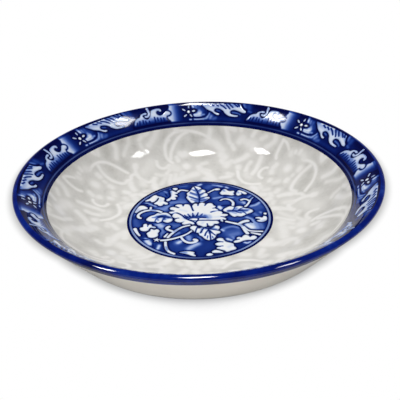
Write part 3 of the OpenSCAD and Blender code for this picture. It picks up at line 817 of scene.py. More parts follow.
SPRIG_WASH = [
    (0.45, 0.55, [(-10, 17.6), (-10, 15), (-10.4, 13)]), (0.2, 0.5, [(-20.8, 4.6), (-20.2, 6)]),
    (0.35, 0.6, [(-6, -19.4), (-4.6, -19.6)]), (0.34, 0.5, [(8.3, 16.8), (8.8, 15.8)]),
    (0.3, 0.5, [(13.2, 15.2), (13.6, 14.2)]), (0.2, 0.5, [(19.2, -4.4), (20.4, -3.8)]),
    (0.2, 0.4, [(-15.2, -5.2), (-14.4, -5.4)]), (0.12, 0.6, [(-13.2, 12.2), (-13.0, 10.6)]),
    (0.12, 0.6, [(8.2, -17.6), (9.2, -16.8)])]
SPRIG_INK = [
    (0.8, 0.2, [(5.4, -17.1), (6.5, -17)]), (0.8, 0.22, [(5.6, -14.6), (6.6, -14.9)]),
    (0.75, 0.2, [(11.0, -14.0), (11.6, -13.8)]), (0.6, 0.18, [(-16.6, -4.3), (-16.6, -4.8)]),
    (0.6, 0.18, [(14.9, 13.4), (14.5, 14.2)])]

STEMS = [
    ([(-12.6, 3.6), (-13.6, 4.4), (-14.8, 4.8), (-16.2, 5.1), (-17.8, 4.8), (-19, 4), (-19.8, 3),
     (-20.1, 1.8), (-19.7, 0.8), (-19.2, 0.4)], 0.9, 0.9),
    ([(-16.2, 5.4), (-16.2, 6.9)], 0.8, 0.7),
    ([(-20.5, -5.8), (-20.1, -7), (-19.5, -8.4), (-18.8, -9.6)], 1.15, 0.6),
    ([(-3.4, -4.9), (-5.4, -5.7), (-7, -7), (-8.2, -8.4), (-9.2, -9.8), (-10, -11.2)], 0.7, 0.9),
    ([(-8.6, -8.0), (-9.2, -7.6), (-10.2, -6.8), (-10.5, -6), (-9.9, -5.3)], 0.8, 1.1),
    ([(-10.2, -9.2), (-11, -10.8)], 0.5, 0.8),
    ([(-2.8, -8.2), (-3.8, -9.4), (-5, -10.4), (-6.8, -11.4), (-8.8, -12.2), (-10.4, -12.6), (-12, -12.7)],
     0.6, 0.9),
    ([(-5.9, -11.6), (-5.3, -13), (-4.2, -14.2), (-2.9, -14.6), (-1.7, -14.2), (-1.3, -13.4),
     (-1.9, -13.0)], 0.75, 1.15),
    ([(-10.7, -13.7), (-10.6, -15.4), (-10.2, -17.4), (-9.4, -18.8), (-8, -19.9)], 0.8, 0.8),
    ([(8.3, -3.6), (10, -4.4), (11.8, -5.3), (12.8, -6.2), (13.4, -7.6), (13.8, -9.2), (14.4, -10.8)],
     0.8, 1.1),
    ([(12.2, -5.2), (13.2, -4.4), (14.4, -3.8), (15, -3.7)], 1.0, 1.4),
    ([(13.6, -7.0), (14.2, -8.2), (15, -9.2), (16.6, -9.7), (19, -10)], 0.7, 0.7),
    ([(15.6, -10.5), (17, -11.1), (18.0, -11.6)], 0.6, 1.0),
    ([(7.2, 9.7), (7.8, 10.3), (9, 10.5), (10.2, 10), (11, 8.8), (11.3, 7.6), (11.1, 6.2)], 0.6, 0.9),
    ([(18.2, 10.8), (17.2, 9.2), (16.6, 7.6), (15.8, 6), (15.2, 5.2)], 0.5, 0.8),
    ([(16.6, 8.8), (16, 9.6), (15, 9.9), (14.2, 9.5)], 0.7, 0.9),
    ([(-7.2, 16.6), (-6.8, 17.4), (-6, 17.7), (-5, 17.5), (-4, 17.1)], 0.9, 0.8),
    ([(3.2, 15.2), (4.2, 16.2), (5.4, 17.2)], 0.5, 0.7)]
BUDS = [(6.4, 17.3, 2.0, 1.3), (21.1, 0.2, 1.0, 1.2)]
STAR = (-13.4, -12.3, 1.15, 0.5)   # place, radius of its points and of the hollows between
STEM_WASH = [
    (0.35, 0.5, [(-14.6, 4.8), (-16, 5.1)]), (0.3, 0.6, [(-7, -7), (-8, -8.2)]),
    (0.3, 0.6, [(12.4, -5.8), (13, -6.6)]), (0.4, 0.5, [(17.4, 9.6), (18.2, 10.8)]),
    (0.35, 0.5, [(-10.4, -16.4), (-10, -17.8)])]

GROUND_WASH = [
    # slate patches of thinner blue
    (0.6, 2.0, [(-6.3, 15.6), (-6.2, 12.8)]), (0.6, 1.8, [(5.2, 15), (5.4, 13)]),
    (0.64, 2.4, [(6.6, 9), (9, 8)]), (0.62, 2.0, [(-18, 2.6), (-14.4, 3.6)]),
    (0.6, 1.6, [(-20.8, -1), (-20, -4)]), (0.6, 1.6, [(-13, 16), (-11.6, 14.6)]),
    (0.58, 1.5, [(3.2, 18.8), (3.8, 19.6)]), (0.62, 1.6, [(10, -2), (13, -2.2)]),
    (0.6, 2.4, [(8.4, -10), (11.4, -9.2)]), (0.64, 1.6, [(-6, -6.4), (-4.4, -7.6)]),
    (0.58, 2.0, [(18.4, 3.6), (20, 4.6)]), (0.52, 1.6, [(-9.6, -4.6), (-7.4, -4.8)]),
    (0.7, 2.0, [(-8, -16), (-6, -17)]), (0.74, 1.8, [(1, -17.4), (3, -16)]),
    (0.52, 1.6, [(13.0, 10.6), (14, 8.4)]), (0.52, 1.2, [(-7.4, 20.6), (-4.8, 20.8)]),
    (0.5, 1.0, [(17.6, 0.6), (18.4, -0.8)]), (0.5, 0.9, [(-0.4, -10.8), (0.0, -13)]),
    # pale washes
    (0.36, 1.9, [(-13.2, 5.2), (-11.6, 5.6), (-10.6, 6.8)]),
    (0.42, 1.4, [(-9.8, 9.4), (-7.4, 9.6), (-5, 9.6)]), (0.5, 1.0, [(-6.4, 11.4), (-5.4, 10.8)]),
    (0.25, 1.6, [(-13.2, -4.0), (-12.2, -5.2)]), (0.42, 1.3, [(-12, -6.8), (-11.8, -8.4)]),
    (0.04, 1.4, [(15.0, -6.0), (16.2, -7.4)]), (0.14, 1.0, [(16.5, -5.0), (16.9, -7.4)]),
    (0.32, 1.0, [(17.6, -4.8), (18.0, -7.8)]), (0.48, 1.0, [(18.9, -5.2), (19.3, -8.0)]),
    (0.3, 0.8, [(15.0, -1.5), (16.4, -2.8), (16.9, -4.4)]),
    (0.36, 1.0, [(-0.8, -15.4), (-2.2, -16.4), (-3.8, -17.8)]), (0.32, 1.1, [(-7.0, -14.2), (-5.9, -13.5)]),
    (0.45, 1.0, [(-3.7, -11.4), (-3.3, -12.8)]), (0.4, 0.6, [(-8.6, -10.5), (-6.6, -9)]),
    (0.42, 0.7, [(6.8, -8.2), (8, -7.2), (10, -6.6), (12, -7.5)]), (0.2, 0.6, [(6.5, -8.2), (7.0, -8.7)]),
    (0.46, 1.4, [(9.4, -11.2), (11.4, -10.6)]), (0.15, 0.5, [(8, -13.3), (9.3, -14.3)]),
    (0.4, 0.7, [(9.8, -12.4), (10.2, -13.3)]), (0.26, 0.7, [(17.0, 5.2), (18.6, 5.8), (20.1, 7.3)]),
    (0.12, 0.85, [(6.6, 5.5), (7.0, 4.6)]), (0.34, 0.6, [(6.4, 3.4), (7, 4)]),
    (0.3, 0.7, [(5.0, 11.2), (6.2, 11.5), (7.6, 11.9)]), (0.32, 0.6, [(9.8, 11.4), (11.4, 11.4)]),
    (0.3, 0.7, [(14.4, 8.2), (15.2, 7.0)]), (0.4, 0.7, [(16.8, 11.0), (17.6, 11.8)]),
    (0.34, 0.7, [(-21, 3.2), (-21, 2.2)]),
    (0.3, 0.55, [(-18, 10), (-16.8, 9.2), (-15.6, 8.2), (-14.5, 7.4)]),
    (0.18, 1.0, [(-16.4, -12.9), (-15.4, -14.4)]), (0.28, 0.6, [(-12.6, -15.2), (-12.8, -17)]),
    (0.16, 0.5, [(13, -15.4), (13.9, -15.9), (14.8, -15.3)]), (0.2, 0.65, [(9.6, 18.6), (10.0, 18.1)]),
    (0.24, 0.75, [(6.6, 20.1), (8.0, 19.3)]), (0.35, 0.7, [(5.2, 20.6), (5.8, 20.4)]),
    (0.2, 0.6, [(-0.1, 20.6), (0.8, 21.4)]), (0.38, 0.5, [(-12, 17.4), (-11.2, 16.4)]),
    (0.32, 0.5, [(-9.9, 19), (-9.7, 18.4)]), (0.35, 0.6, [(19.7, 1.2), (20.2, 0.4)]),
    (0.44, 0.5, [(-12.2, -9.4), (-11.8, -10.8)]), (0.3, 0.6, [(-16.9, -11.4), (-16.5, -11.7)])]
GROUND_INK = [
    (0.97, 0.34, [(14.6, -3.0), (16, -4), (16.4, -4.7)]),
    (0.95, 0.3, [(14.2, -7.6), (15.6, -8.7), (17.4, -9.1), (20, -9.2)]),
    (0.95, 0.3, [(15.8, -9.9), (17.4, -10.4), (19, -10.8)]),
    (0.96, 0.3, [(16.8, 6.4), (18.6, 7.4), (20, 8.4)]), (0.95, 0.3, [(-9.4, -8.8), (-10.6, -11)]),
    (0.96, 0.3, [(8.6, -14.2), (9.6, -15)]), (0.96, 0.3, [(-17.6, -11.8), (-16.2, -12)]),
    (0.95, 0.3, [(-14.6, -13.6), (-14.4, -15.6)]), (0.95, 0.3, [(-19.4, 9), (-17.4, 9)]),
    (0.95, 0.3, [(5.2, 18.3), (8.8, 18.2)]), (0.9, 0.3, [(-11.6, 15.6), (-11.0, 14)]),
    (0.96, 0.35, [(7.4, 6.2), (8.6, 6.4), (10, 6.4)])]
# white left in the ground
GROUND_LIGHT = [
    (0.08, 0.6, [(6.5, 5.5), (6.9, 4.6)]), (0.15, 0.5, [(8.2, -13.4), (9.1, -14.1)]),
    (0.22, 0.7, [(-12.9, -3.9), (-12.2, -4.8)]), (0.2, 0.5, [(-0.1, 20.7), (0.7, 21.3)]),
    (0.25, 0.5, [(14.9, 7.6), (15.1, 7.1)]), (0.06, 0.7, [(14.8, -6.2), (16.0, -7.4)]),
    (0.16, 0.55, [(-6.8, -14.4), (-6.0, -13.6)]), (0.12, 0.8, [(-16.2, -12.9), (-15.5, -14.2)]),
    (0.16, 0.45, [(-12.5, -15.6), (-12.9, -16.9)]),
    (0.24, 0.8, [(-1.0, -15.2), (-2.4, -16.2), (-3.6, -17.4)]), (0.34, 0.9, [(-3.8, -11.4), (-3.5, -12.8)])]


def circle_line(radius, step):
    """Points round a circle."""
    a = np.linspace(0, 2 * math.pi, int(2 * math.pi * radius / step), endpoint=False)
    return np.c_[radius * np.cos(a), radius * np.sin(a)]


def star(x, y, points, hollows):
    """Outline of a small five-pointed star."""
    a = math.radians(12) + np.linspace(0, 2 * math.pi, 10, endpoint=False)
    reach = np.where(np.arange(10) % 2, hollows, points)
    return curve_through(np.c_[x + reach * np.cos(a), y + reach * np.sin(a)], OUTLINE_STEP, True)


def floor_map(spots):
    """Map of the floor: the medallion fills the middle of the square."""
    return 0.5 + spots / (2 * (MEDALLION_R + 0.3)) * 0.99


def enamel_shape(outline, pitch, white, wash, ink, rim, dip):
    """A white shape with its brushwork: spots, corners, tone, and how far each spot stands up."""
    spots, corners, edge = triangles_in(outline, pitch)
    tone = np.interp(spots[:, 1], *zip(*white)) + rim * np.exp(-(edge / EDGE_TINT) ** 2)
    tone = paint(spots, paint(spots, tone, wash, SOFT), ink, CRISP)
    swell = np.clip(edge / EDGE_WIDE, 0, 1)
    return spots, corners, tone, ENAMEL_SIT + RISE * swell * (2 - swell) - dip * np.clip(tone - 0.3, 0, 1)


def enamel_on_floor(name, node, outlines, wash, ink, white=0.02, rim=EDGE_BLUE):
    """White enamel shapes on the medallion, each a low pillow."""
    parts = []
    for outline in outlines:
        spots, corners, tone, lift = enamel_shape(
            outline, FLOOR_PITCH, [(0, white)], wash, ink, rim, FLOOR_DIP)
        top, under = np.c_[spots, FLOOR_Z + lift], np.c_[spots, np.full(len(spots), FLOOR_Z - SKIRT)]
        parts.append((*solid_patch(spots, corners, top, under, floor_map(spots)), np.r_[tone, tone]))
    piece = make_piece(name, *joined(parts))
    piece.data.materials.append(white_enamel)
    return settle(piece, node, sharp=50)


flower_lines, leaf_lines, sprig_lines = (
    [curve_through(outline, OUTLINE_STEP, True) for outline in shapes]
    for shapes in (FLOWER, LEAVES, SPRIGS))
stem_lines = [ribbon(*s) for s in STEMS] + [blot(*b) for b in BUDS] + [star(*STAR)]
enamel_on_floor("enamel_flower", "medallion_flower", flower_lines, FLOWER_WASH, FLOWER_INK)
enamel_on_floor("enamel_leaves", "medallion_leaves", leaf_lines, LEAF_WASH, LEAF_INK)
enamel_on_floor("enamel_sprigs", "medallion_sprigs", sprig_lines, SPRIG_WASH, SPRIG_INK)
enamel_on_floor("enamel_stems", "medallion_vines", stem_lines, STEM_WASH, [], white=0.05, rim=0.1)

spots, corners, edge = triangles_in(circle_line(RING_IN, FLOOR_PITCH), GROUND_PITCH)
tone = np.full(len(spots), GROUND_TONE)
tone = paint(spots, paint(spots, tone, GROUND_WASH, SOFT), GROUND_INK, CRISP)
outline_gap = gap_to(spots, flower_lines + leaf_lines + sprig_lines + stem_lines)
tone = tone + (OUTLINE_TONE - tone) * np.exp(-(outline_gap / FLOOR_OUTLINE) ** CRISP)
tone = tone + (GROUND_EDGE_TONE - tone) * np.exp(-(edge / GROUND_EDGE_WIDE) ** SOFT)
tone = paint(spots, tone, GROUND_LIGHT, SOFT)
top = np.c_[spots, np.full(len(spots), FLOOR_Z)]
places, faces, maps = solid_patch(spots, corners, top, top - (0, 0, COAT), floor_map(spots))
ring = flat_ring(RING_OUT, MEDALLION_R)
ring_places, ring_faces, ring_maps = sector_strip(ring, 0, 360, columns=320, tops=5)
ring_places = ring_places[:-len(ring)]
ring_faces = [tuple(i % len(ring_places) for i in f) for f in ring_faces]
ring_flat = floor_map(ring_places[:, :2])
ring_maps = np.array([ring_flat[i] for f in ring_faces for i in f])
ring_tone = np.full(len(ring_places), OUTLINE_TONE)
medallion_ground = make_piece("medallion_ground", *joined([
    (places, faces, maps, np.r_[tone, tone]), (ring_places, ring_faces, ring_maps, ring_tone)]))
medallion_ground.data.materials.append(cobalt_ground)
settle(medallion_ground, "medallion_print")


# The border: degrees from a blossom, mm up its slope
def shifted(points, degrees):
    """Points moved round the border."""
    return [(a + degrees, v) for a, v in points]


CREST_AT, WAVE_AT = -16.3, 17.7
ART_LEAN = 1.1           # middle of a sector's white shapes, degrees from its blossom
CREST = shifted([
    (11.3, 8.7), (10, 7.6), (8.8, 6.7), (7, 5.9), (6.2, 5.4), (5.4, 4.9), (4.5, 4.5), (3.7, 4.6),
    (3.6, 5.0), (4.2, 5.2), (5.2, 5.5), (5.9, 6.2), (5.8, 6.9), (5.0, 7.3), (3.9, 7.2), (2.8, 6.8),
    (1.9, 6.2), (1.2, 5.4), (0.2, 4.7), (-1.2, 4.2), (-3, 4.05), (-4.6, 4.2), (-4.8, 4.7), (-3.5, 4.8),
    (-2.2, 4.9), (-1.3, 5.3), (-1.1, 6.0), (-1.6, 6.7), (-2.8, 6.9), (-4.5, 6.6), (-6.4, 6.0), (-7.5, 5.95),
    (-8.0, 6.3), (-7.7, 6.8), (-6.8, 7.3), (-5.9, 8.1), (-5.3, 8.8), (-5.0, 9.4), (-1, 9.45), (2, 9.4),
    (6, 9.25), (11.4, 9.2)], CREST_AT)
# tone by mm up the slope
CREST_FADE = ((5.0, 0.12), (7.0, 0.14), (8.0, 0.24), (8.8, 0.36), (9.4, 0.44))
CREST_WASH = [(t, w, shifted(p, CREST_AT)) for t, w, p in (
    (0.34, 0.7, [(-0.6, 9.3), (-3, 9.2), (-5, 9.2)]), (0.14, 0.5, [(9, 9.1), (5, 9.1), (2, 9.2)]),
    (0.16, 0.4, [(4.6, 4.8), (5.6, 5.3)]), (0.14, 0.4, [(-2.6, 4.5), (-0.6, 4.8)]),
    (0.12, 0.5, [(-4, 7.6), (-6.6, 6.7)]))]
CREST_INK = [(0.94, 0.27, shifted(p, CREST_AT)) for p in (
    [(7.7, 8.8), (7.0, 8.6), (6.3, 8.3)], [(5.7, 8.85), (5.0, 8.6), (4.3, 8.2)],
    [(3.9, 8.95), (2.5, 8.3), (1.6, 7.7), (0.9, 7.25)], [(1.7, 9.3), (0.6, 8.5), (-0.2, 7.8), (-0.8, 7.2)],
    [(0.1, 9.6), (-1.0, 8.6), (-2.0, 7.9)], [(-2.0, 9.6), (-3.0, 8.9), (-4.0, 8.3)],
    [(-3.6, 9.6), (-4.7, 8.6)])]
WAVE = shifted([
    (8.6, 2.5), (8.0, 4.2), (7.2, 5.3), (6.0, 6.0), (4.8, 6.3), (4.2, 7.0), (3.6, 7.4), (2.5, 7.7),
    (1.6, 7.75), (1.2, 7.3), (1.8, 6.95), (2.8, 7.0), (3.3, 6.6), (3.0, 5.8), (2.3, 5.1), (1.4, 4.9),
    (0.6, 5.4), (-0.1, 6.2), (-0.5, 7.2), (-1.0, 8.2), (-2.0, 8.6), (-3.5, 8.75), (-4.6, 8.6), (-5.2, 8.1),
    (-5.1, 7.4), (-4.5, 7.3), (-4.0, 7.8), (-3.2, 7.6), (-2.8, 7.0), (-3.2, 6.2), (-4.2, 5.7), (-5.3, 5.9),
    (-6.4, 6.6), (-7.2, 7.1), (-8.2, 7.0), (-8.9, 6.3), (-8.7, 5.7), (-8.0, 5.35), (-7.1, 5.2), (-6.8, 4.5),
    (-7.2, 3.5), (-8, 2.5)], WAVE_AT)
HOOK = shifted([(0.45, 9.35), (0.35, 8.3), (0.25, 7.3), (0.6, 6.5), (1.3, 6.05), (2.1, 6.15)], WAVE_AT)
WAVE_FADE = (
    (2.4, 0.96), (3.0, 0.86), (3.5, 0.73), (4.1, 0.55), (4.7, 0.37), (5.3, 0.22), (6.0, 0.14), (6.6, 0.12),
    (8.7, 0.2))
HOOK_FADE = ((0, 0.14),)
WAVE_WASH = [(t, w, shifted(p, WAVE_AT)) for t, w, p in (
    (0.3, 0.5, [(0.5, 9.4), (0.4, 8.8)]), (0.22, 0.45, [(6.6, 5.0), (7.6, 3.8)]),
    (0.2, 0.4, [(-0.6, 7.4), (-0.2, 6.4)]), (0.4, 0.5, [(0.2, 4.8), (1.6, 4.4), (2.6, 4.6)]),
    (0.16, 0.5, [(-5.6, 5.4), (-6.6, 5.0)]))]
WAVE_INK = [(0.93, 0.27, shifted(p, WAVE_AT)) for p in (
    [(6.7, 4.3), (7.2, 3.4), (7.5, 2.6)], [(5.3, 4.7), (5.7, 3.5), (5.9, 2.7)], [(3.8, 4.8), (4.0, 3.5)],
    [(2.7, 4.3), (2.7, 3.0)], [(1.1, 4.1), (1.1, 2.9)], [(-1.6, 5.3), (-1.6, 4.0), (-1.4, 3.0)],
    [(-2.9, 4.9), (-2.9, 3.8)], [(-4.3, 4.5), (-4.3, 3.2)], [(-5.6, 4.4), (-5.6, 3.2)])]
# petals of a blossom, then its heart: middle, width and height, tilt, tone
PETALS = [
    (0.6, 8.1, 0.55, 1.25, 0, 0.2), (2.8, 7.0, 1.5, 0.6, 37, 0.18), (2.3, 4.5, 1.5, 0.65, -35, 0.16),
    (-0.15, 4.45, 0.6, 1.45, -37, 0.18), (-1.4, 6.3, 1.2, 0.75, -10, 0.1), (0.8, 6.05, 1.05, 1.1, 0, 0.06)]


def petal_line(a, v, wide, high, tilt):
    """Outline of a small petal, with its middle in degrees and mm, as mm across and up the border."""
    turn = np.linspace(0, 2 * math.pi, 18, endpoint=False)
    x, y = wide / 2 * np.cos(turn), high / 2 * np.sin(turn)
    c, s = math.cos(math.radians(tilt)), math.sin(math.radians(tilt))
    return np.c_[a * ARC + x * c - y * s, v + x * s + y * c]


def in_mm(points):
    """Points given in degrees and mm as mm across and up the border."""
    return [(a * ARC, v) for a, v in points]


def strokes_in_mm(strokes):
    """The same for brush strokes."""
    return [(t, w, in_mm(p)) for t, w, p in strokes]


crest_lines = [curve_through(in_mm(CREST), OUTLINE_STEP, True)]
wave_lines = [curve_through(in_mm(WAVE), OUTLINE_STEP, True), ribbon(in_mm(HOOK), 0.75, 0.8)]
blossom_lines = [petal_line(*p[:5]) for p in PETALS]
# graded panel between wave and blossom: degrees and tone, and its left edge by mm up the slope
PANEL_TONES = (
    (3.4, 0.93), (5.0, 0.82), (6.0, 0.66), (6.6, 0.52), (7.2, 0.4), (7.8, 0.27), (8.4, 0.18), (9.4, 0.13))
PANEL_EDGE = ((7.3, 10.8), (7.8, 9.3), (8.2, 9.4), (8.8, 8.9), (9.4, 9.2))
PANEL_SOFT = 0.3            # how many degrees that edge takes to fade
# by mm up the slope: tone of the ground, and how far the panel and the dark lower edge cover it
BORDER_TONES = ((7.5, 0.93), (9.0, 1.0))
PANEL_COVER = ((2.2, 0), (2.7, 1), (9.1, 1), (9.5, 0.5))
LOW_COVER = ((1.9, 1), (2.3, 0))
BOWL = in_mm([
    (-4.7, 9.1), (-5.6, 8.2), (-6.5, 7.3), (-7.4, 6.4), (-7.8, 5.7), (-7.4, 4.7), (-6.5, 4.0), (-5.2, 3.6),
    (-4, 3.45), (-2.4, 3.45), (-1, 3.7)])
BORDER_WASH = strokes_in_mm([
    # inside the bowl beside the blossom
    (0.42, 0.5, [(-0.8, 9.2), (-1.1, 8.6)]), (0.12, 0.55, [(-1.1, 8.4), (-1.35, 7.9)]),
    (0.42, 0.6, [(-2.3, 8.5), (-2.6, 7.6)]), (0.6, 0.8, [(-3.6, 8.3), (-4.0, 7.2)]),
    (0.76, 0.9, [(-5.0, 7.4), (-5.6, 6.2)]), (0.36, 0.6, [(-3.9, 6.4), (-4.5, 5.8)]),
    (0.2, 0.7, [(-3.5, 5.6), (-4.3, 5.2)]), (0.1, 0.65, [(-1.6, 4.75), (-2.6, 4.8), (-4.0, 4.9)]),
    (0.14, 0.34, [(-1.4, 4.2), (-3.0, 4.1), (-4.6, 4.2)]), (0.34, 0.45, [(-4.9, 4.5), (-6.0, 4.7)]),
    # pale strip under it, widening to the right
    (0.1, 0.32, [(0.5, 2.8), (-0.2, 2.75)]), (0.12, 0.32, [(-1.6, 2.8), (-3.5, 2.75), (-5.6, 2.85)]),
    (0.3, 0.5, [(-5.8, 2.9), (-7.0, 3.1)]), (0.26, 0.6, [(-7.4, 3.6), (-8.1, 5.0)]),
    (0.38, 0.8, [(-8.8, 3.2), (-9.2, 4.0)]), (0.55, 0.8, [(-10.2, 2.9), (-11.2, 3.2)]),
    (0.84, 0.9, [(-13, 3), (-18, 2.9), (-22, 3.2)]),
    # thinner blue in the crests' hooks and beyond their tip
    (0.55, 0.35, shifted([(4.8, 6.5), (3.6, 6.2)], CREST_AT)),
    (0.5, 0.4, shifted([(-2.2, 5.8), (-4.0, 5.65), (-5.5, 5.2)], CREST_AT)),
    (0.48, 0.7, shifted([(-6.4, 9.4), (-7.2, 8.4)], CREST_AT)),
    (0.7, 1.1, shifted([(-8.6, 9.0), (-9.0, 8.2)], CREST_AT)),
    (0.62, 0.5, shifted([(-9.0, 6.9), (-10.2, 6.6)], CREST_AT)),
    (0.7, 0.35, shifted([(-3.6, 7.4), (-4.6, 7.1)], WAVE_AT))])
BORDER_INK = [(0.98, 0.34, BOWL)] + strokes_in_mm([
    (0.97, 0.28, [(-0.1, 9.3), (-0.25, 8), (-0.3, 7.2)]),
    (0.97, 0.3, [(-0.7, 7.15), (-2.0, 7.1), (-2.9, 6.4), (-2.0, 5.7), (-1.0, 5.2)]),
    (0.99, 0.4, shifted([(-5.3, 9.6), (-6.0, 8.5), (-6.9, 7.75), (-8.2, 7.2)], CREST_AT))])


def on_border(spots, lift):
    """Places on the border of spots given in mm across and up it, lifted from its face."""
    r, z, nr, nz = border_at(spots[:, 1])
    a = BLOSSOM_AT + spots[:, 0] / ARC * math.radians(1)
    r, z = r + nr * lift, z + nz * lift
    return np.c_[r * np.cos(a), r * np.sin(a), z]


def border_map(spots):
    """Map of one sector of the border."""
    across = (spots[:, 0] / ARC - ART_LEAN) * REPEATS / 360
    return np.c_[0.5 + 0.98 * across, MAP_FACE[0] + MAP_FACE[1] * spots[:, 1] / BORDER_LENGTH]


def enamel_on_border(name, node, outlines, wash, ink, whites, rim=EDGE_BLUE):
    """White enamel shapes of one sector of the border, set round it by the repeat tree."""
    parts = []
    for outline, white in zip(outlines, whites):
        spots, corners, tone, lift = enamel_shape(
            outline, BORDER_PITCH, white, wash, ink, rim, BORDER_DIP)
        top, under = on_border(spots, lift), on_border(spots, np.full(len(spots), -SKIRT))
        # degrees run against the clock here, so the patch is mirrored when it is laid on the slope
        places, faces, maps = solid_patch(spots, corners, top, under, border_map(spots))
        parts.append((places, [f[::-1] for f in faces], maps, np.r_[tone, tone]))
    places, faces, maps, tones = joined(parts)
    turn_back, start = [], 0
    for f in faces:
        turn_back += range(start + len(f) - 1, start - 1, -1)
        start += len(f)
    piece = make_piece(name, places, faces, maps[turn_back], tones)
    grow(piece, ring_repeat, Count=REPEATS, Material=white_enamel)
    spread_maps(piece, REPEATS, math.degrees(BLOSSOM_AT - SECTOR / 2) + ART_LEAN)
    return settle(piece, node, sharp=50)


enamel_on_border("enamel_crests", "border_crests", crest_lines,
                 strokes_in_mm(CREST_WASH), strokes_in_mm(CREST_INK), [CREST_FADE])
enamel_on_border("enamel_waves", "border_waves", wave_lines,
                 strokes_in_mm(WAVE_WASH), strokes_in_mm(WAVE_INK), [WAVE_FADE, HOOK_FADE])
enamel_on_border("enamel_blossoms", "border_blossoms", blossom_lines, [], [],
                 [[(0, petal[5])] for petal in PETALS], rim=0.08)


def border_tone(spots):
    """Brushwork of the border's ground at spots given in mm across and up it."""
    a, v = spots[:, 0] / ARC, spots[:, 1]
    tone = np.interp(v, *zip(*BORDER_TONES))
    left = np.interp(v, *zip(*PANEL_EDGE))
    panel = np.clip((left - a) / PANEL_SOFT, 0, 1) * np.interp(v, *zip(*PANEL_COVER))
    tone = tone + (np.interp(a, *zip(*PANEL_TONES)) - tone) * panel * (a > PANEL_TONES[0][0])
    side = SECTOR * BORDER_MID_R
    for turn in (-side, 0, side):
        moved = spots + (turn, 0)
        tone = paint(moved, paint(moved, tone, BORDER_WASH, SOFT), BORDER_INK, CRISP)
    white_lines = crest_lines + wave_lines + blossom_lines
    gap = np.min([gap_to(spots + (turn, 0), white_lines) for turn in (-side, 0, side)], axis=0)
    tone = tone + (1.0 - tone) * np.exp(-(gap / BORDER_OUTLINE) ** CRISP)
    return tone + (OUTLINE_TONE - tone) * np.interp(v, *zip(*LOW_COVER))


def border_strip(low, high, rows, columns):
    """One sector of the border's ground between two places up its slope."""
    up = np.linspace(low, high, rows)
    r, z, nr, nz = border_at(up)
    face = np.c_[r, z]
    loop = np.vstack([face, np.c_[r - COAT * nr, z - COAT * nz][::-4]])
    start = math.degrees(BLOSSOM_AT - SECTOR / 2)
    places, faces, maps = sector_strip(loop, start, math.degrees(SECTOR), columns, rows)
    across = np.repeat(np.linspace(-0.5, 0.5, columns + 1) * SECTOR * BORDER_MID_R, len(loop))
    height = np.tile(np.r_[up, np.full(len(loop) - rows, 0.5)], columns + 1)
    return places, faces, maps, border_tone(np.c_[across, height])


BORDER_COLUMNS = 200
low_strip = border_strip(0, LINE_LOW, rows=5, columns=BORDER_COLUMNS)
high_strip = border_strip(LINE_HIGH, BORDER_LENGTH, rows=37, columns=BORDER_COLUMNS)
# the two strips share each row of the map
low_strip[2][:, 1] = 0.955 + 0.04 * low_strip[2][:, 1]
high_strip[2][:, 1] *= 0.95
border_ground = make_piece("border_ground", *joined([low_strip, high_strip]))
grow(border_ground, ring_repeat, Count=REPEATS, Material=cobalt_ground)
spread_maps(border_ground, REPEATS, math.degrees(BLOSSOM_AT - SECTOR / 2))
settle(border_ground, "border_print")


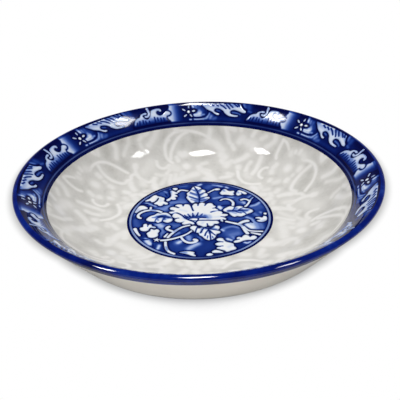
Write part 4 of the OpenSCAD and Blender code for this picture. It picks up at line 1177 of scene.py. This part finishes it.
# The well: degrees round, mm out from the medallion
SCROLL = [
    # stems and curls
    (1.0, 0.6, [(183, 8.2), (180, 5.5), (177, 4.2), (174, 3.3), (171, 3.1), (168, 3.4), (165, 4.2),
     (162, 5.3)]),
    (1.0, 0.55, [(166.5, 13.3), (168, 12.8), (169, 11.6), (169, 10), (168, 8.9), (166, 8.3), (164.7, 8.2)]),
    (0.95, 0.55, [(166.4, 25.3), (166.6, 22), (166.2, 19.2), (165.3, 18)]),
    (0.9, 0.5, [(166.4, 25.5), (164.5, 25), (162.5, 23.7), (161.5, 22.8)]),
    (0.95, 0.55, [(151, 21.6), (147, 22.3), (143.5, 22.1), (140.5, 21), (138.3, 19.3), (136.4, 17.2),
     (135, 15), (133.8, 13.5)]),
    (0.85, 0.65, [(145.2, 21.2), (146, 18.5), (145.9, 15.5), (144.8, 13), (142.8, 11), (140.5, 10.3),
     (138, 10.8), (135.5, 10.5), (133.5, 11.7), (131, 12)]),
    (0.85, 0.75, [(126.8, 15.3), (128.2, 13.6), (129.5, 12), (129.8, 10), (129.3, 8), (128.2, 6.5),
     (126.3, 5.8), (124.6, 5.9)]),
    (0.95, 0.6, [(104.2, 22.3), (106.4, 20.6), (107.4, 18), (107.7, 15.5), (107, 13.8), (105.4, 12.3)]),
    (0.95, 0.6, [(94.5, 24.7), (97.5, 23.6), (100.5, 21.5), (103, 18.8), (104.8, 16.3), (105.6, 14.3)]),
    (0.95, 0.55, [(105.5, 22), (103.5, 23.6), (100.5, 25), (96.5, 25.3), (92.5, 24.8), (89, 24), (86, 23),
     (83.5, 21.8)]),
    (0.9, 0.65, [(114.2, 14.3), (114.7, 12.6), (114, 11.2), (112, 10.5), (110, 10.6), (108, 11.4)]),
    (0.75, 0.7, [(113.5, 6.7), (110.8, 8), (108.5, 9.3)]),
    (0.75, 0.8, [(114, 1.2), (112.5, 3.2), (110.5, 5.3), (109.6, 6.3)]),
    (0.6, 0.8, [(110.2, 2.5), (107.5, 4.5), (106, 6.2)]),
    # leaves
    (0.85, 0.8, [(173.6, 17), (173, 14), (172.4, 11), (172.6, 8.5)]),
    (0.85, 0.8, [(178, 13.5), (178.6, 11.5), (178, 9.2)]),
    (0.45, 1.0, [(176.5, 8), (175, 6.8), (172.5, 6.5)]),
    (0.8, 1.0, [(137.5, 9.2), (139.4, 7.6), (141, 5.5)]), (0.85, 1.1, [(126.8, 15.2), (127.4, 14.6)]),
    (0.5, 1.2, [(129.8, 7.4), (131.5, 5.8)]), (0.8, 0.9, [(125.3, 3.6), (123.5, 5.6), (121.3, 6.8)]),
    (0.8, 1.2, [(127.5, 1.5), (126, 3)]), (0.5, 0.8, [(121, 2.5), (118, 3.5), (114, 5.5)]),
    (0.5, 0.8, [(118.5, 8.5), (115.5, 7.3), (112.4, 6.4)]),
    (0.35, 1.6, [(124.5, 11.5), (120, 12.5), (117.5, 14.5)]),
    (0.75, 1.3, [(204.5, 20.8), (201, 20), (198.3, 18.4), (196.8, 17.2)]),
    (0.8, 0.8, [(191.5, 19.5), (190, 18)]), (0.75, 1.3, [(188, 21.3), (187, 22.8), (186, 22)]),
    (0.75, 1.7, [(182.5, 21.2), (180.4, 21), (179.6, 19.6)]),
    (0.8, 1.3, [(206.5, 6.8), (203, 5.2), (200, 3.2), (197.5, 1.4)]), (0.8, 1.2, [(204, 2), (201, 1.5)]),
    (0.8, 0.9, [(192, 3.2), (189, 4), (186.5, 4.8)]), (0.6, 0.9, [(188.6, 6.2), (185.5, 6)]),
    (0.8, 1.3, [(163, 2.2), (159.5, 2), (157.5, 1)]), (0.7, 1.2, [(150.5, 1.2), (149, 2)]),
    (0.7, 1.0, [(147, 3.8), (144.5, 3.4)]), (0.75, 1.0, [(147, 7), (146, 5.8)]),
    (0.75, 1.1, [(142, 2), (141.5, 1)]), (0.6, 0.8, [(137, 2.4), (134, 1.6)]),
    (0.7, 1.4, [(106, 2.8), (101, 3.5), (96, 4.3), (91, 5.2)]), (0.65, 1.6, [(106.5, 10), (104, 9)]),
    (0.5, 0.9, [(152.5, 5), (154, 3.6)]), (0.5, 0.9, [(159.6, 4.6), (157.8, 3.6)]),
    (0.6, 0.9, [(182, 2.2), (179, 1.2)]),
    # flowers: middles, then petals
    (1.0, 1.45, [(155.6, 16.5), (155.2, 16.1)]), (0.85, 0.9, [(162.8, 15.8), (163.4, 14.2)]),
    (0.8, 1.0, [(162.6, 12.5), (162, 12)]), (0.75, 0.9, [(158.8, 9.2), (158.4, 8.5)]),
    (0.8, 1.0, [(149.3, 18.6), (149.2, 17.6)]), (0.6, 0.7, [(149.7, 15.2), (149.5, 14.6)]),
    (0.8, 0.95, [(149.9, 12.5), (149.6, 11.6)]), (0.85, 0.7, [(157.5, 23.1), (157.3, 22.6)]),
    (0.65, 1.0, [(159.7, 22.2), (159.2, 21.4)]), (0.8, 0.8, [(154.9, 24), (155, 23)]),
    (0.55, 1.2, [(152.4, 22.8), (151.4, 22.2)]), (0.55, 1.0, [(153.4, 9.8), (154.6, 8.8)]),
    (1.0, 1.35, [(97.7, 9.9), (97.3, 9.6)]), (0.8, 0.8, [(102.2, 14.6), (101.6, 12.8)]),
    (0.75, 1.1, [(99.8, 16), (98.6, 15.3)]), (0.7, 1.0, [(97, 16), (96.7, 15.2)]),
    (0.75, 1.1, [(89.2, 9), (88.8, 8)]), (0.75, 0.8, [(87.3, 10.4), (84.6, 11)]),
    (0.65, 0.8, [(85, 7.3), (82, 6.8)]), (0.6, 0.9, [(102, 5.6), (101, 6.6)]),
    (0.8, 1.4, [(196.2, 15), (194.2, 13.8)]), (0.8, 1.0, [(195.5, 12.4), (194.3, 11.4)]),
    (0.8, 1.3, [(191.3, 11.3), (191.8, 10.2)]), (0.7, 0.9, [(189.3, 12.6), (187.5, 12.4)]),
    (0.85, 1.0, [(185.8, 13.2), (183.6, 14.6), (181.7, 16.2)]), (0.85, 1.1, [(183.9, 10.4), (183.5, 10)]),
    # lobes under the border
    (0.85, 0.8, [(143.6, 26.5), (142.6, 25.4)]), (0.8, 0.8, [(140.6, 26.4), (141.4, 24.6)]),
    (0.85, 0.85, [(131.5, 26.5), (131.3, 24.3), (132.6, 22.3), (133.8, 20.8)]),
    (0.65, 0.7, [(123.4, 26.3), (124.2, 24.4), (127.5, 22.2), (129.3, 20.6)]),
    (0.75, 0.8, [(118.6, 24.6), (117, 25.6)]), (0.6, 0.7, [(118.9, 23), (118.5, 20.8), (117.4, 19.6)]),
    (0.75, 1.0, [(109.2, 26.4), (110.8, 24.2), (113, 22.6), (115, 21.6)]),
    (0.7, 0.8, [(113.5, 26.3), (115, 26)]), (0.8, 0.8, [(99.9, 26), (99.2, 25.4)]),
    (0.8, 0.9, [(203.4, 25.2), (203.8, 23)]),
    (0.8, 0.8, [(196, 26.3), (194.8, 24), (193.7, 21.5), (193, 20.4)]),
    (0.75, 0.9, [(194, 26.2), (191.5, 25.7)]), (0.75, 0.8, [(188.6, 26.4), (188.3, 25.8)]),
    (0.8, 0.8, [(181.2, 26.4), (182.2, 24.2)]),
    (0.8, 0.9, [(171, 26), (170.4, 24.8), (171.6, 22.6), (173.6, 21)]),
    (0.65, 0.8, [(175.4, 25), (177.5, 23.6)])]


SLIP_BASE, SLIP_WHITE = 0.1, 0.88    # tone of the bare glaze, and of the fullest stroke
SLIP_SPREAD = 1.1                    # how far a stroke reaches, in half widths
SLIP_HALO, HALO_WIDE = 0.3, 2.3      # the thin slip round it: how white, and how far it reaches
SLIP_LIFT = 0.045                    # how far the fullest stroke stands up
SCROLL_STEP = 0.7                    # spacing of the points of a stroke


def on_well(spots, lift=0.0):
    """Places on the well of spots given in degrees round and mm out."""
    r, z, nr, nz = well_at(spots[:, 1])
    a = np.radians(spots[:, 0])
    return np.c_[(r + nr * lift) * np.cos(a), (r + nr * lift) * np.sin(a), z + nz * lift]


def scroll_tone(spots):
    """How much white slip lies on the well at these spots, from 0 to 1."""
    places = on_well(spots)
    tone, halo = np.full(len(spots), SLIP_BASE), np.zeros(len(spots))
    for turn in (-SCROLL_TURN, 0, SCROLL_TURN):
        for target, width, points in SCROLL:
            line = on_well(curve_through(points, SCROLL_STEP) + (turn, 0))
            away = distance(places, line, reach=6 * width) / width
            halo = np.maximum(halo, np.exp(-(away / HALO_WIDE) ** 2) * min(1, width))
            tone = tone + (SLIP_WHITE * target - tone) * np.exp(-(away / SLIP_SPREAD) ** 3)
    return tone + SLIP_HALO * halo * (1 - tone)


WELL_ROWS, WELL_COLUMNS = 84, 200
out_along = np.linspace(0, WELL_LENGTH, WELL_ROWS)
r, z, _, _ = well_at(out_along)
well_face = np.c_[r, z]
r, z, nr, nz = well_at(np.linspace(WELL_LENGTH, 0, 16))
well_loop = np.vstack([well_face, np.c_[r - COAT * nr, z - COAT * nz]])
places, faces, maps = sector_strip(well_loop, SCROLL_FROM, SCROLL_TURN, WELL_COLUMNS, WELL_ROWS)
around = np.linspace(SCROLL_FROM, SCROLL_FROM + SCROLL_TURN, WELL_COLUMNS + 1)
grid = np.array([(a, s) for a in around for s in out_along])
slip = scroll_tone(grid).reshape(WELL_COLUMNS + 1, WELL_ROWS)
near_edge = np.clip(np.minimum(out_along, WELL_LENGTH - out_along) / 0.6, 0, 1)
lift = SLIP_LIFT * np.clip(slip - SLIP_BASE, 0, 1) * near_edge
tone = np.full((WELL_COLUMNS + 1, len(well_loop)), SLIP_BASE)
tone[:, :WELL_ROWS] = slip
places = places.reshape(WELL_COLUMNS + 1, len(well_loop), 3)
places[:, :WELL_ROWS] = on_well(grid, lift.ravel()).reshape(WELL_COLUMNS + 1, WELL_ROWS, 3)
well_coat = make_piece("well_coat", places.reshape(-1, 3), faces, maps, tone.ravel())
grow(well_coat, ring_repeat, Count=SCROLLS, Material=scroll_glaze)
spread_maps(well_coat, SCROLLS, SCROLL_FROM)
settle(well_coat, "well_glaze")

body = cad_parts["porcelain_body"]
body.data.materials.clear()
body.data.materials.append(clay_body)


# Floor, light and camera
def studio_floor():
    """A wide white table. Cameras see it white, with the shadow under and behind the dish drawn in."""
    mesh = bpy.data.meshes.new("table")
    half = TABLE_WIDE / 2
    corners = [(-half, -half, 0), (half, -half, 0), (half, half, 0), (-half, half, 0)]
    mesh.from_pydata(corners, [], [(0, 1, 2, 3)])
    table = bpy.data.objects.new("table", mesh)
    bpy.context.scene.collection.objects.link(table)
    finish = bpy.data.materials.new("white table")
    finish.use_nodes = True
    tree = finish.node_tree
    nodes, link = tree.nodes, tree.links.new
    nodes.remove(nodes["Principled BSDF"])
    plain, glow = nodes.new("ShaderNodeBsdfDiffuse"), nodes.new("ShaderNodeEmission")
    pick = nodes.new("ShaderNodeMixShader")
    plain.inputs["Color"].default_value = (0.9, 0.9, 0.9, 1)
    nearness = nodes.new("ShaderNodeAmbientOcclusion")
    nearness.samples = 24
    nearness.inputs["Distance"].default_value = SHADOW_REACH
    shade = ranged(tree, nearness.outputs["AO"], (0.02, 0.3, 0.42, 1.0)).outputs["Result"]
    link(where_shaded(tree, shade), glow.inputs["Strength"])
    link(eye_rays(tree), pick.inputs["Fac"])
    link(plain.outputs[0], pick.inputs[1])
    link(glow.outputs[0], pick.inputs[2])
    link(pick.outputs[0], nodes["Material Output"].inputs["Surface"])
    mesh.materials.append(finish)


def where_shaded(tree, level):
    """Light left on the table by a soft shadow behind the dish, drawn as that of a light from the front."""
    place, path = tree.nodes.new("ShaderNodeTexCoord"), tree.nodes.new("ShaderNodeLightPath")

    def past_disc(back, radius):
        away = tree.nodes.new("ShaderNodeVectorMath")
        away.operation = "DISTANCE"
        away.inputs[1].default_value = (0, back, 0)
        tree.links.new(place.outputs["Object"], away.inputs[0])
        return worked(tree, "SUBTRACT", away.outputs["Value"], radius)

    def faded(distance, values):
        return ranged(tree, distance, values).outputs["Result"]

    nearest = past_disc(*SHADOW_DISCS[0])
    for disc in SHADOW_DISCS[1:]:
        nearest = worked(tree, "MINIMUM", nearest, past_disc(*disc))
    split = tree.nodes.new("ShaderNodeSeparateXYZ")
    tree.links.new(place.outputs["Object"], split.inputs["Vector"])
    edge = faded(nearest, (-0.0014, 0.0037, SHADOW_LEVEL, 1.0))
    far_end = faded(split.outputs["Y"], (0.02, 0.075, SHADOW_LEVEL, 1.0))
    level = worked(tree, "MINIMUM", level, worked(tree, "MAXIMUM", edge, far_end))
    # painted shadow: the table under the dish is darkened in what the glazes mirror, not cast by the lamps
    under_dish = faded(past_disc(0, 0.05), (0.0, 0.045, 0.2, 1.0))   # what the glazes mirror of the table
    mirrored = worked(tree, "MAXIMUM", under_dish, path.outputs["Is Camera Ray"])
    return worked(tree, "MINIMUM", level, mirrored)


def eye_rays(tree):
    """1 for rays that a camera, a mirror or a glass looks along."""
    path = tree.nodes.new("ShaderNodeLightPath")
    total = path.outputs["Is Camera Ray"]
    for other in ("Is Glossy Ray", "Is Transmission Ray"):
        total = worked(tree, "ADD", total, path.outputs[other], clamp=True)
    return total


def white_room(front, back, high):
    """Light from all round: pale walls, brighter in front of the dish than behind it, and a dim ceiling."""
    world = bpy.data.worlds.new("white room")
    bpy.context.scene.world = world
    world.use_nodes = True
    tree = world.node_tree
    nodes, link = tree.nodes, tree.links.new
    where, split = nodes.new("ShaderNodeTexCoord"), nodes.new("ShaderNodeSeparateXYZ")
    link(where.outputs["Generated"], split.inputs["Vector"])
    walls = ranged(tree, split.outputs["Y"], (-0.8, 0.8, front, back), smooth=False)
    ceiling = ranged(tree, split.outputs["Z"], (0.02, 0.35, front, high))
    link(walls.outputs["Result"], ceiling.inputs["To Min"])
    link(ceiling.outputs["Result"], nodes["Background"].inputs["Strength"])
    nodes["Background"].inputs["Color"].default_value = (1, 1, 1, 1)


def ceiling_lamp(name, x, y, power):
    """An oblong lamp in the row above the dish."""
    light = bpy.data.lights.new(name, "AREA")
    light.shape, light.size, light.size_y, light.energy = "RECTANGLE", LAMP_WIDE, LAMP_DEEP, power
    lamp = bpy.data.objects.new(name, light)
    lamp.location = (x, y, LAMP_Z)
    lamp.rotation_euler = (Vector((0, 0, 0.02)) - lamp.location).to_track_quat("-Z", "Y").to_euler()
    bpy.context.scene.collection.objects.link(lamp)


# stage sizes, in metres
TABLE_WIDE = 6.0
SHADOW_REACH = 0.012        # of the close shadow under the dish
SHADOW_LEVEL = 0.4          # light left in the soft shadow
SHADOW_DISCS = ((0.0444, 0.0705), (0.026, 0.057), (0.015, 0.0484))   # how far back each lies, radius
LAMP_Z = 1.6
LAMP_WIDE, LAMP_DEEP = 0.265, 0.2
# name, place to the right and away, power
LAMPS = (
    ("lamp right", 0.79, 0.01, 5.6), ("lamp middle", -0.04, 0.07, 12.7), ("lamp left", -0.88, 0.1, 9.7))
studio_floor()
white_room(front=1.85, back=0.3, high=0.06)
for lamp_facts in LAMPS:
    ceiling_lamp(*lamp_facts)

CAMERA_PLACE = (0, -0.15560, 0.10413)
CAMERA_TURN = (30.61, 0.15, 2.22)    # pitch, yaw and roll in degrees
CAMERA_LENS, CAMERA_FILM = 51.27, 36.0
CAMERA_SHIFT = (-0.0013, 0.0014)     # half a pixel of 400


def photo_camera():
    """The camera that the photograph was taken with, as fitted to the dish."""
    pitch, yaw, roll = (math.radians(d) for d in CAMERA_TURN)
    ahead = Vector((math.sin(yaw) * math.cos(pitch), math.cos(yaw) * math.cos(pitch), -math.sin(pitch)))
    right = Vector((math.cos(yaw), -math.sin(yaw), 0))
    up = right.cross(ahead)
    right, up = right * math.cos(roll) - up * math.sin(roll), up * math.cos(roll) + right * math.sin(roll)
    data = bpy.data.cameras.new("photo camera")
    data.lens, data.sensor_width = CAMERA_LENS, CAMERA_FILM
    data.clip_start = 0.01
    data.shift_x, data.shift_y = CAMERA_SHIFT
    camera = bpy.data.objects.new("photo camera", data)
    turn = Matrix((right, up, -ahead)).transposed().to_4x4()
    camera.matrix_world = Matrix.Translation(CAMERA_PLACE) @ turn
    bpy.context.scene.collection.objects.link(camera)
    bpy.context.scene.camera = camera


photo_camera()
bpy.context.scene.view_settings.view_transform = "Standard"
